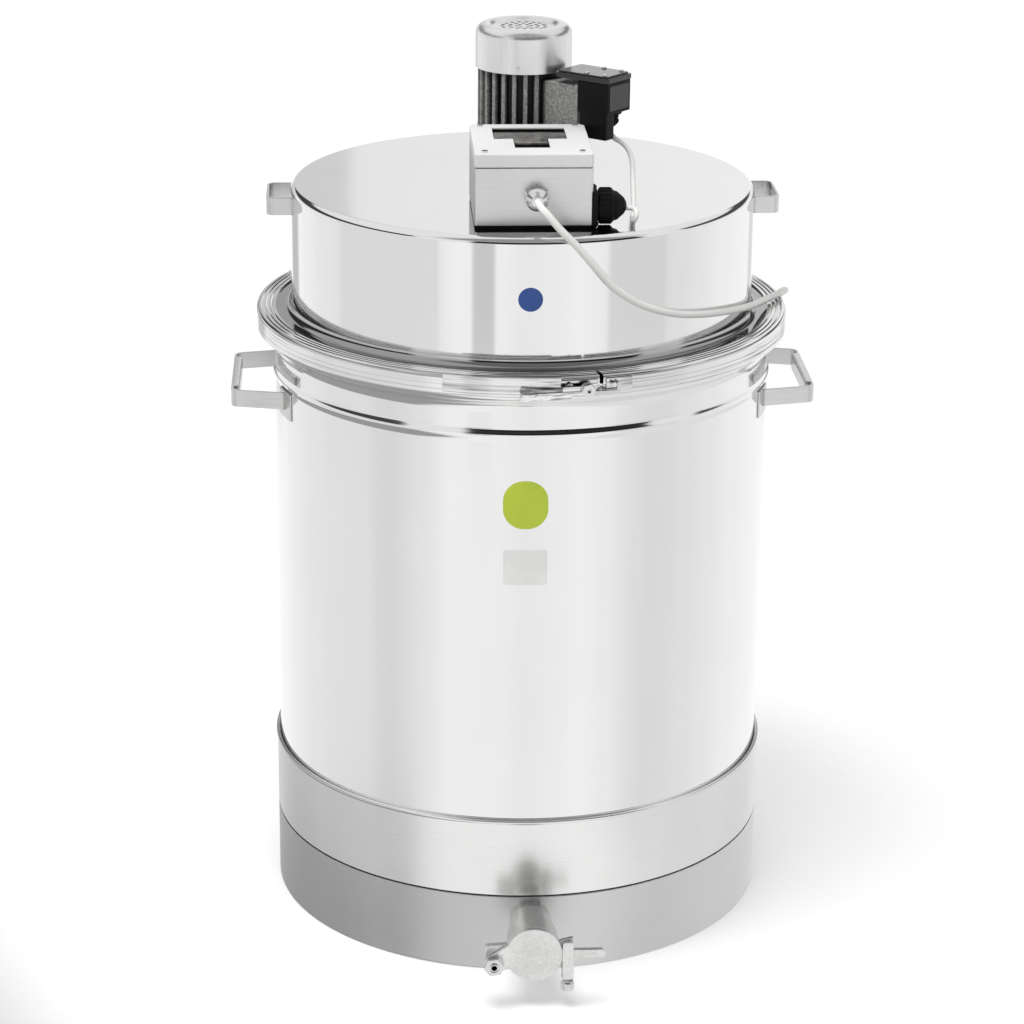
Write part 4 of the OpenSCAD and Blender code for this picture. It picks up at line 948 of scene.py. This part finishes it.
class MELTER_OT_lid(Operator):
    """Spins the lid with its rounded edge and foot flange"""
    bl_idname = "melter.lid_shell"
    bl_label = "Lid"

    def execute(self, context):
        r, top, edge, grip, strip = mm(context.scene.melter.lid, "radius", "top", "edge",
                                       "handle_grip", "handle_base")
        foot, low = 10.0, 744.0
        profile = ([(14, top), (150, top)] + arc(r - edge, top - edge, edge, 90, 0, 12)
                   + arc(r + foot, low + 2.5 + foot, foot, 180, 270, 12)
                   + [(303, low + 2.5), (303, low)]
                   + arc(r + foot, low + 2.5 + foot, foot + 2.5, 270, 180, 8)
                   + arc(r - edge, top - edge, edge - 2, 0, 90, 8) + [(14, top - 2)])
        lid = lathe("lid", profile, 256)
        finish(lid, "lid", "lid", ["lid_shell"])
        path = handle_path(grip, 40, 270, 40, 9.5)
        loop = strap("loop", path, strip, strip + STRIP, 3, 0.7, side=-1.0)
        seams = []
        for sign in (-1, 1):
            for y in (sign * 37.0, sign * 41.2):
                x = math.sqrt(r ** 2 - y ** 2) + 0.5
                seams.append(weld([(x, y, strip + 0.6 + 19.8 * i / 24) for i in range(25)], 1.3))
        pair_of_handles("lid", [loop], seams)
        return {"FINISHED"}


LATCH_TURN = 10.0  # degrees from the front to the right
LATCH_Z = 736.0


def at_latch(piece, x=0.0, z=0.0):
    """Sets a piece made facing up on the latch's own turned plane."""
    return settle(piece, turned(LATCH_TURN) @ shift(x, 0, LATCH_Z + z) @ UPRIGHT)


class MELTER_OT_clamp_ring(Operator):
    """Rolls the clamp ring and welds its latch plates to it"""
    bl_idname = "melter.clamp_ring"
    bl_label = "Clamp ring"

    def execute(self, context):
        out, top = mm(context.scene.melter.lid, "ring_radius", "ring_top")
        profile = [(298, top - 2, 0.4), (out - 2, top - 2), (out - 2, top - 24, 0.5),
                   (out, top - 24, 0.5), (out, top, 3.6)]
        for groove in (313.5, 308, 302.5):
            profile += [(groove + 1.3, top, 0.4), (groove, top - 1.1, 0.4), (groove - 1.3, top, 0.4)]
        profile = rounded(profile + [(298, top, 0.6)], 4)
        ring = lathe("ring", profile, 360, start=13.7, sweep=359.2)
        plates = []
        for low, high, steps, start, sweep in ((top - 20, top, 28, -19, 24), (730, 745, 12, 4.5, 7.9),
                                               (731, 745, 10, 14.2, 5.6)):
            plate = lathe("plate", [(out - 0.3, low), (out + 2.5, low), (out + 2.5, high),
                                    (out - 0.3, high)], steps, start=start, sweep=sweep)
            plates.append(ease(plate, 0.7, 3))
        finish(join("clamp_ring", ring, *plates), "lid", "ring",
               ["clamp_ring"])
        return {"FINISHED"}


class MELTER_OT_latch(Operator):
    """Makes the over-centre latch: pins, lever and link"""
    bl_idname = "melter.latch"
    bl_label = "Latch"

    def execute(self, context):
        pin = at_latch(bar("pivot", 3, 323, 331.6, 0.3))
        nut = at_latch(cut(prism("nut", 8.4, 331.4, 337.4, 0.8, turn=10),
                           bar("hole", 2.7, 333.2, 339, 0)))
        catch = at_latch(bar("catch", 3, 321.6, 327.3, 0.5), 31.6, 2.5)
        finish(join("latch_pins", pin, nut, catch), "lid", "bolt",
               ["latch_pins"])
        eye = rounded([(-29, 4, 2), (-29, -1.5, 1), (-76, -1.5, 2), (-78, -4, 2), (-78, -10.5, 2),
                       (-20, -10.5, 2), (-17, -6, 2), (0, -7.5, 6), (7.5, -7.5, 6.5),
                       (7.5, 7.5, 6.5), (-4, 7.5, 5), (-8, 4)], 6)
        lever = at_latch(slab("lever", eye, 328, 331, 0.7, 3))
        pin = at_latch(bar("link_pin", 2, 324.4, 328.6, 0.2), -19, 1.5)
        finish(join("latch_lever", lever, pin), "latch_lever",
               "ring", ["latch_lever"])
        plate = rounded([(-24.2, 1.5, 5), (-24.2, -8.5, 2), (39, -8.5, 3), (39, 5.5, 2),
                         (34.9, 5.5, 1.5), (34.9, -4, 1), (-16, -4, 1), (-13.8, 6.7, 5),
                         (-24.2, 6.7, 5)], 4)
        link = at_latch(slab("latch_link", plate, 324.5, 327, 0.5, 2))
        finish(link, "latch_link", "handle", ["latch_link"])
        return {"FINISHED"}


# ---------------------------------------------------------------- stirrer drive

TERMINAL_GLAND = (122, 8, 995)  # before the terminal box is turned
HOOD_GLAND = (3, -236, 935)
CONNECTOR = (67, -216, 920)

def box_outline(radius):
    """The gearbox seen from above: two round ends and straight sides."""
    return (arc(0, 0, radius, 180, 360, 24) + arc(0, 35, radius, 0, 180, 24))


class MELTER_OT_gearbox(Operator):
    """Makes the gearbox base on its round flange, and its cover"""
    bl_idname = "melter.gearbox"
    bl_label = "Gearbox"

    def execute(self, context):
        low, = mm(context.scene.melter.lid, "top")
        flange = lathe("flange", rounded([(10, low), (52, low, 0.5), (52, low + 6, 1.2),
                                          (38, low + 7, 3), (36.4, low + 12), (10, low + 12)], 4), 96)
        body = slab("body", box_outline(36), low + 3, low + 35.7, 0.8)
        bosses = []
        for angle in (90, 270, 330, 30):
            boss = lathe("boss", rounded([(0, low + 5), (7.2, low + 5), (7.2, low + 6.6, 0.4),
                                          (0, low + 6.6)], 2, closed=False), 32, closed=False)
            bosses.append(settle(boss, shift(*around(angle, 44, 0))))
        finish(join("gearbox_base", flange, body, *bosses), "lid",
               "gearbox", ["gearbox_base"])
        split = low + 36
        cover = slab("cover", box_outline(36), split + 0.3, low + 60, 0.8)
        lip = slab("lip", box_outline(37.4), split + 0.3, split + 4.5, 0.8)
        foot = slab("foot", box_outline(37.4), split - 5, split - 0.3, 0.8)
        neck = lathe("neck", rounded([(30, low + 52), (36.2, low + 52), (43, low + 56, 4),
                                      (53.4, low + 56.4, 1), (53.4, low + 61.9, 0.6),
                                      (30, low + 61.9)], 4), 96)
        bolts = []
        for x, y in ((33, 28), (-33, 28), (33, 0), (-33, 0), (0, 68), (22, -26), (-22, -26)):
            bolt = prism("bolt", 3.4, split + 4, split + 7.2, 0.4)
            bolts.append(settle(bolt, shift(x * 1.03, y * 1.02)))
        finish(join("gearbox_cover", cover, lip, foot, neck, *bolts), "lid",
               "gearbox", ["gearbox_cover"])
        return {"FINISHED"}


class MELTER_OT_motor(Operator):
    """Casts the finned motor housing"""
    bl_idname = "melter.motor"
    bl_label = "Motor housing"

    def execute(self, context):
        s = context.scene.melter.drive
        (tip, low), high = mm(s, "fin_radius", "fin_base"), 1039.0
        core = lathe("core", rounded([(20, low - 8), (tip, low - 8, 1), (tip, low, 1.2),
                                      (48, low + 0.6, 1.5), (46.2, low + 5, 1.5), (46.2, high - 2),
                                      (20, high - 2)], 4), 120)
        fin = slab("fin", [(44, -3.0), (tip - 0.4, -2.4), (tip - 0.4, 2.4), (44, 3.0)],
                   low - 0.6, high, 0.9, 2)
        turn = math.degrees(s.box_turn)
        fins = [copied(fin, turned(turn + 360 * (i + 0.5) / s.fins)) for i in range(2, s.fins - 2)]
        bpy.data.objects.remove(fin)
        saddle = block("saddle", 40, 95, -20.8, 20.8, low + 0.2, 1028.6, 2.0, 3)
        seat = block("seat", 91, 95.9, -23, 23, low + 1.2, 1030.4, 1.2, 3)
        pad = block("pad", 43, tip - 0.4, -9.5, 9.5, low + 2, low + 34, 1.4, 3)
        pads = [copied(pad, turned(angle)) for angle in (58, 180)]
        bpy.data.objects.remove(pad)
        box_side = settle(join("box_side", saddle, seat, *pads), turned(turn))
        finish(join("motor_housing", core, box_side, *fins), "lid",
               "cast", ["motor_housing"])
        return {"FINISHED"}


class MELTER_OT_cowl(Operator):
    """Spins the fan cowl, dished on top and pierced for air"""
    bl_idname = "melter.cowl"
    bl_label = "Fan cowl"

    def execute(self, context):
        (r, top), low = mm(context.scene.melter.drive, "cowl_radius", "cowl_top"), 1037.0
        outer = ([(r, low), (r, low + 20)] + arc(r - 12, top - 12, 12, 0, 90, 12)
                 + rounded([(44, top), (41, top, 3), (36.4, top - 4, 3), (0, top - 4)], 4,
                           closed=False)[1:])
        inner = (rounded([(0, top - 5.4), (36.8, top - 5.4, 2), (41.4, top - 1.5, 2),
                          (44, top - 1.5)], 3, closed=False)
                 + arc(r - 12, top - 12, 10.4, 90, 0, 8) + [(r - 1.6, low)])
        cowl = lathe("fan_cowl", outer[::-1] + inner[::-1], 160, closed=False)
        drills = []
        for row in (1, 2, 3):
            for i in range(6 * row):
                drill = bar("drill", 2.6, top - 8, top - 2, 0, 20)
                drills.append(settle(drill, shift(*around(60 * i / row + 90, 8.5 * row, 0))))
        cut(cowl, join("drills", *drills))
        finish(cowl, "lid", "cowl", ["fan_cowl"], angle=40)
        return {"FINISHED"}


class MELTER_OT_terminal_box(Operator):
    """Makes the terminal box with the boss for its gland, its overhanging cover, and a grey sheet of painted
    light on its right face
    """
    bl_idname = "melter.terminal_box"
    bl_label = "Terminal box"

    def execute(self, context):
        spin = turned(math.degrees(context.scene.melter.drive.box_turn))
        box = slab("box", rounded(frame_of(96, 139, -25, 25, 4), 6), 999, 1035.8, 0.8, 3)
        neck = block("neck", 100, 138, -24, -7, 969, 1007, 2.0, 3)
        boss = lathe("boss", rounded([(6, 995), (13, 995, 1), (13, 1006), (6, 1006)], 3), 40)
        settle(boss, shift(*TERMINAL_GLAND[:2]))
        finish(settle(join("terminal_box", box, neck, boss), spin), "lid",
               "terminal", ["terminal_box"])
        rim = slab("rim", rounded(frame_of(64, 140, -26, 26, 5), 6), 1036, 1042, 0.9, 3)
        crown = slab("crown", rounded(frame_of(67, 137, -23, 23, 4), 6), 1041.5, 1044, 0.9, 3)
        finish(settle(join("terminal_cover", rim, crown), spin), "lid",
               "cover", ["terminal_cover"])
        # Painted light: a thin grey sheet on the box's right face stands for the light falling on that side
        # of the black box.
        panel = slab("terminal_panel", rounded(frame_of(139, 139.6, -19, 19, 0.2), 2),
                     1003, 1032, 0.2, 2)
        finish(settle(panel, spin), "lid", "panel")
        return {"FINISHED"}


# ---------------------------------------------------------------- wiring hood

def gland(radius, bore, run):
    """A cable gland made facing up: flange, nut flats, body and cap."""
    nut = prism("nut", radius * 1.08, 0, 5, 0.7)
    body = lathe("body", rounded([(bore, 0), (radius - 1.4, 0), (radius - 1.4, 6, 0.4),
                                  (radius - 0.8, 6.5, 0.4), (radius - 0.8, run * 0.45 + 4, 1.2),
                                  (radius - 3.6, run * 0.62 + 4, 1.5), (bore + 2.4, run - 1, 1.2),
                                  (bore - 0.1, run - 0.6)], 4), 48)
    rib = block("rib", radius - 2, radius - 0.1, -1.1, 1.1, 6.6, run * 0.45 + 3, 0.5, 2)
    return join("gland", nut, body, *ring_of(rib, 12))


class MELTER_OT_hood(Operator):
    """Folds the wiring hood: gasket, case, cover with its slot, the rail under it, its glands, and a black
    sheet of painted shade under the slot
    """
    bl_idname = "melter.hood"
    bl_label = "Wiring hood"

    def execute(self, context):
        low, top, split = 902.0, 984.0, 968.0
        outline = rounded(frame_of(-67, 67, -236, -80, 3), 5)
        inner = rounded(frame_of(-65.4, 65.4, -234.4, -81.6, 1.6), 4)
        case = cut(slab("case", outline, low, split - 0.25, 0.35, 2),
                   slab("room", inner, low + 1.6, split + 9, 0),
                   stand(bar("gland_hole", 11.5, -8, 8, 0), HOOD_GLAND, FORWARD),
                   stand(bar("plug_hole", 12.5, -8, 8, 0), CONNECTOR, (1, 0, 0)))
        finish(case, "lid", "hood", ["hood_case"])
        slot = slab("slot", [(-42, -158), (-20, -158), (-20, -203), (20, -203), (20, -158),
                             (42, -158), (42, -100), (-42, -100)], split + 4, top + 8, 0)
        cover = cut(slab("cover", outline, split + 0.25, top, 1.5, 4),
                    slab("room", inner, split - 8, top - 1.6, 0), slot)
        finish(cover, "lid", "hood top", ["hood_cover"], angle=30)
        # Painted shade: a black sheet just under the cover, seen through the slot, stands for the shade
        # inside the hood.
        shade_sheet = slab("hood_screen", inner, 979.2, 980.4, 0.2)
        finish(shade_sheet, "lid", "rubber")
        gasket = cut(slab("gasket", rounded(frame_of(-66.4, 66.4, -235.4, -80.6, 4), 5), 898.05, 902, 1.0, 3),
                     slab("room", rounded(frame_of(-55, 55, -224, -92, 2), 3), 890, 910, 0))
        finish(gasket, "lid", "rubber", ["hood_gasket"])
        rail = slab("rail", rounded([(-41, -157, 1), (-19, -157), (-19, -177, 1), (19, -177, 1), (19, -157),
                                     (41, -157, 1), (41, -124, 1), (-41, -124, 1)], 2), 981, 984, 0.8, 3)
        posts = [block("post", x - 4, x + 4, -146, -127, 903.8, 981.4, 0.6) for x in (-37, 37)]
        finish(join("hood_rail", rail, *posts), "lid", "rail", ["hood_rail"])
        front = stand(gland(14, 4.3, 24), HOOD_GLAND, FORWARD, 30)
        under = gland(9.8, 3, 16)
        spin = turned(math.degrees(context.scene.melter.drive.box_turn))
        settle(under, spin @ shift(*TERMINAL_GLAND) @ UPRIGHT @ UPRIGHT)
        finish(named(front, "hood_gland"), "lid", "bolt", ["cable_glands"])
        finish(named(under, "terminal_gland"), "lid", "black", ["cable_glands"])
        return {"FINISHED"}


class MELTER_OT_connector(Operator):
    """Makes the black connector on the hood's side"""
    bl_idname = "melter.connector"
    bl_label = "Connector"

    def execute(self, context):
        plate = slab("plate", rounded(frame_of(-21, 21, -21, 21, 4), 5), 0, 5, 0.9, 3)
        body = lathe("body", rounded([(4, 4), (17.5, 4), (17.5, 7, 0.6), (20, 7.6, 0.8),
                                      (20, 22.4, 1.2), (17.6, 24, 1), (16, 28.6, 1.6),
                                      (9, 36.5, 2), (4, 39)], 4), 64)
        rib = block("rib", 18.2, 20.9, -1.3, 1.3, 8.6, 21.4, 0.5, 2)
        heads = [settle(bar("head", 2.5, 4.8, 6.4, 0.5, 20), shift(x, y))
                 for x in (-17, 17) for y in (-17, 17)]
        whole = join("connector", plate, body, *ring_of(rib, 20), *heads)
        stand(whole, CONNECTOR, (1, 0, 0))
        finish(whole, "lid", "black", ["motor_connector"])
        return {"FINISHED"}


# ---------------------------------------------------------------- wax outlet

OUTLET_Z = 68.0
GATE_R = 33.0


def gate_bolt(y):
    """A place on the axis of the gate's pivot bolt."""
    return (-47, y, 57)


class MELTER_OT_outlet(Operator):
    """Makes the outlet's collar and flange, and the clamp bracket beside it"""
    bl_idname = "melter.outlet"
    bl_label = "Wax outlet"

    def execute(self, context):
        pipe = lathe("pipe", rounded([(22.2, 0), (24, 0), (24, 46), (26, 50, 2), (26, 80), (30, 80.5, 1),
                                      (30, 108, 1.2), (26.4, 109.4, 1.5), (26, 113), (GATE_R, 113, 1),
                                      (GATE_R, 119.7, 0.8), (22.3, 119.7, 1.2)], 4), 96)
        stand(pipe, (0, -272, OUTLET_Z), FORWARD)
        lug = slab("lug", rounded([(-57, 57, 9), (-57, 77, 3), (-24, 79, 2), (-20, 60), (-34, 48, 3),
                                   (-52, 48, 9)], 5), 384, 391.9, 0.8, 3)
        arm = slab("arm", rounded([(24, 52), (24, 80, 1), (46, 86, 1.2), (46, 34, 1.2), (33, 34, 1.2),
                                   (33, 46, 2)], 4), 385, 391.6, 0.7, 3)
        jaw = slab("jaw", rounded([(33, 34, 1.5), (33, 86, 4), (46, 86, 4), (46, 34, 1.5)], 5),
                   400.7, 404, 0.7, 3)
        foot = slab("foot", rounded([(33, 34, 0.8), (33, 39, 0.8), (46, 39, 0.8), (46, 34, 0.8)], 2),
                    385, 404, 0.6, 2)
        for piece in (lug, arm, jaw, foot):
            settle(piece, UPRIGHT)
        cut(lug, stand(bar("bore", 4, -30, 30, 0), gate_bolt(-390), FORWARD))
        whole = join("outlet_flange", pipe, lug, arm, jaw, foot)
        finish(whole, "tank", "outlet", ["valve_body"], angle=34)
        return {"FINISHED"}


class MELTER_OT_gate(Operator):
    """Makes the swing gate and its pivot bolt"""
    bl_idname = "melter.gate"
    bl_label = "Swing gate"

    def execute(self, context):
        outline = (arc(0, OUTLET_Z, GATE_R, 12, 158, 30)
                   + rounded([(-31, 76), (-47, 68.5, 6), (-56, 60, 8), (-53, 49, 8), (-40, 47, 8),
                              (-30, 51, 4)], 5, closed=False)[1:]
                   + arc(0, OUTLET_Z, GATE_R, 210, 346, 30)
                   + rounded([(36, 60, 3), (49, 60, 2), (50, 64, 2), (80, 64, 4.9), (88.4, 69, 5),
                              (80, 74, 4.9), (40, 74, 3), (32, 75)], 5, closed=False))
        plate = settle(slab("gate", outline, 393.2, 399.2, 0.9, 3), UPRIGHT)
        bore = stand(bar("bore", 4.06, -30, 30, 0), gate_bolt(-396), FORWARD)
        finish(cut(plate, bore), "gate", "outlet", ["gate_plate"],
               angle=34)
        washer = lathe("washer", rounded([(3, 0), (12, 0, 0.3), (12, 1.4, 0.4), (3, 1.4)], 2), 40)
        head = cut(ease(slab("head", arc(0, 0, 12, 0, 360, 6)[:-1], 1.4, 8.4, 0.9, 2), 0.3),
                   bar("dish", 6.4, 6.9, 10, 0))
        shank = bar("shank", 4, -15, 9.6, 0.6)
        tip = bar("tip", 4.8, 6.8, 9.6, 0.8)
        whole = stand(join("gate_pivot_bolt", washer, head, shank, tip), gate_bolt(-399.6), FORWARD, 8)
        finish(whole, "tank", "bolt", ["gate_pivot"])
        return {"FINISHED"}


# ---------------------------------------------------------------- control box and fittings

BOX_BACK = 392.0

def back_plate(piece):
    """Turns a piece made facing up towards the back of the tank."""
    return settle(piece, shift(0, BOX_BACK) @ Matrix.Rotation(-math.pi / 2, 4, "X"))


class MELTER_OT_control_box(Operator):
    """Folds the control box at the back, with its cover, the switch window in it and the dial's marks"""
    bl_idname = "melter.control_box"
    bl_label = "Control box"

    def execute(self, context):
        case = cut(block("case", -90, 90, 296, BOX_BACK, 10, 184, 1.6, 4),
                   block("room", -88, 88, 280, 400, 12, 182, 0),
                   lathe("tank_room", [(0, -20), (304.2, -20), (304.2, 260), (0, 260)], 256, closed=False),
                   bar("socket_hole", 16, 0, 20, 0))
        finish(case, "tank", "hood", ["control_case"], angle=30)
        cover = slab("cover", rounded(frame_of(-90, 90, -184, -10, 3), 5), 0, 2, 0.7, 3)
        window = block("window", -53, -31, -135, -105, -6, 9, 0)
        finish(back_plate(cut(cover, window)), "tank", "hood",
               ["control_cover"])
        marks = []
        for i in range(11):
            mark = block("mark", 18.6, 22.2 if i % 5 else 24.2, -0.45, 0.45, 2, 2.12, 0)
            marks.append(settle(mark, shift(40, -120) @ turned(-135 - 27 * i)))
        finish(back_plate(join("dial_marks", *marks)), "tank", "black",
               flat=False)
        return {"FINISHED"}


class MELTER_OT_fittings(Operator):
    """Makes the filling cap with its grip"""
    bl_idname = "melter.fittings"
    bl_label = "Filling cap"

    def execute(self, context):
        cap = lathe("cap", rounded([(14.4, 0), (17.3, 0, 0.5), (17.3, 20, 2.0), (0, 20.0)], 4,
                                   closed=False) + [(0, 17), (14.4, 17), (14.4, 0)], 72, closed=False)
        rib = settle(bar("rib", 1.1, 1, 17.6, 0.4, 12), shift(17.4, 0))
        whole = join("fill_cap", cap, *ring_of(rib, 18))
        stand(whole, around(225, 330, 634))
        finish(whole, "fill_cap", "black", ["fill_cap"])
        return {"FINISHED"}


# ---------------------------------------------------------------- nodes that keep their shape

KEPT = {
    "inside": ["inner_vessel", "vessel_floor", "rim_ring", "outlet_strainer", "stirrer"],
    "element": ["immersion_heater"],
    "outlet": ["outlet_pipe", "gate_screw"],
    "rubber": ["valve_seal", "lid_seal", "shaft_seal"],
    "black": ["thermostat", "main_switch", "lid_socket", "mains_gland", "lid_plug", "cooling_fan",
              "thermostat_knob", "switch_rocker"],
    "bolt": ["tank_screws", "lid_screws", "gearbox_bearings"],
    "handle": ["fill_neck"],
    "brass": ["drain_cock"],
    "red": ["drain_lever"],
    "winding": ["stator"],
    "gear": ["output_gear", "layshaft_gears", "rotor_shaft"],
    "amber": ["pilot_lamps"],
}


class MELTER_OT_kept_pieces(Operator):
    """Gives their finishes to the pieces whose shape is right as it is"""
    bl_idname = "melter.kept_pieces"
    bl_label = "Kept pieces"

    def execute(self, context):
        for look, names in KEPT.items():
            for name in names:
                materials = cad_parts[name].data.materials
                if not materials:
                    materials.append(finish_named(look))
                for i in range(len(materials)):
                    materials[i] = finish_named(look)
        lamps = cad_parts["pilot_lamps"].data.materials
        if len(lamps) > 1:
            lamps[0] = "green"
        return {"FINISHED"}


# ---------------------------------------------------------------- panel and run

STEPS = [MELTER_OT_camera, MELTER_OT_cables, MELTER_OT_studio, MELTER_OT_tank_shell, MELTER_OT_base,
         MELTER_OT_tank_handles, MELTER_OT_stickers, MELTER_OT_lid, MELTER_OT_clamp_ring,
         MELTER_OT_latch, MELTER_OT_gearbox, MELTER_OT_motor, MELTER_OT_cowl,
         MELTER_OT_terminal_box, MELTER_OT_hood, MELTER_OT_connector, MELTER_OT_outlet,
         MELTER_OT_gate, MELTER_OT_control_box, MELTER_OT_fittings, MELTER_OT_kept_pieces]


class MELTER_PT_panel(Panel):
    bl_label = "Cappings wax melter"
    bl_idname = "MELTER_PT_panel"
    bl_space_type = "VIEW_3D"
    bl_region_type = "UI"
    bl_category = "Wax Melter"

    def draw(self, context):
        sizes = context.scene.melter
        for group in (sizes.tank, sizes.lid, sizes.drive, sizes.looks):
            box = self.layout.box()
            for key in group.bl_rna.properties.keys():
                if key not in ("rna_type", "name"):
                    box.prop(group, key)
        for step in STEPS:
            self.layout.operator(step.bl_idname)


CLASSES = [MELTER_PG_tank, MELTER_PG_lid, MELTER_PG_drive, MELTER_PG_looks, MELTER_PG_sizes,
           *STEPS, MELTER_PT_panel]


def register():
    for item in CLASSES:
        bpy.utils.register_class(item)
    bpy.types.Scene.melter = PointerProperty(type=MELTER_PG_sizes)


def unregister():
    del bpy.types.Scene.melter
    for item in reversed(CLASSES):
        bpy.utils.unregister_class(item)


def main():
    register()
    for step in STEPS:
        group, name = step.bl_idname.split(".")
        getattr(getattr(bpy.ops, group), name)()
    let_go()


if __name__ == "__main__":
    main()
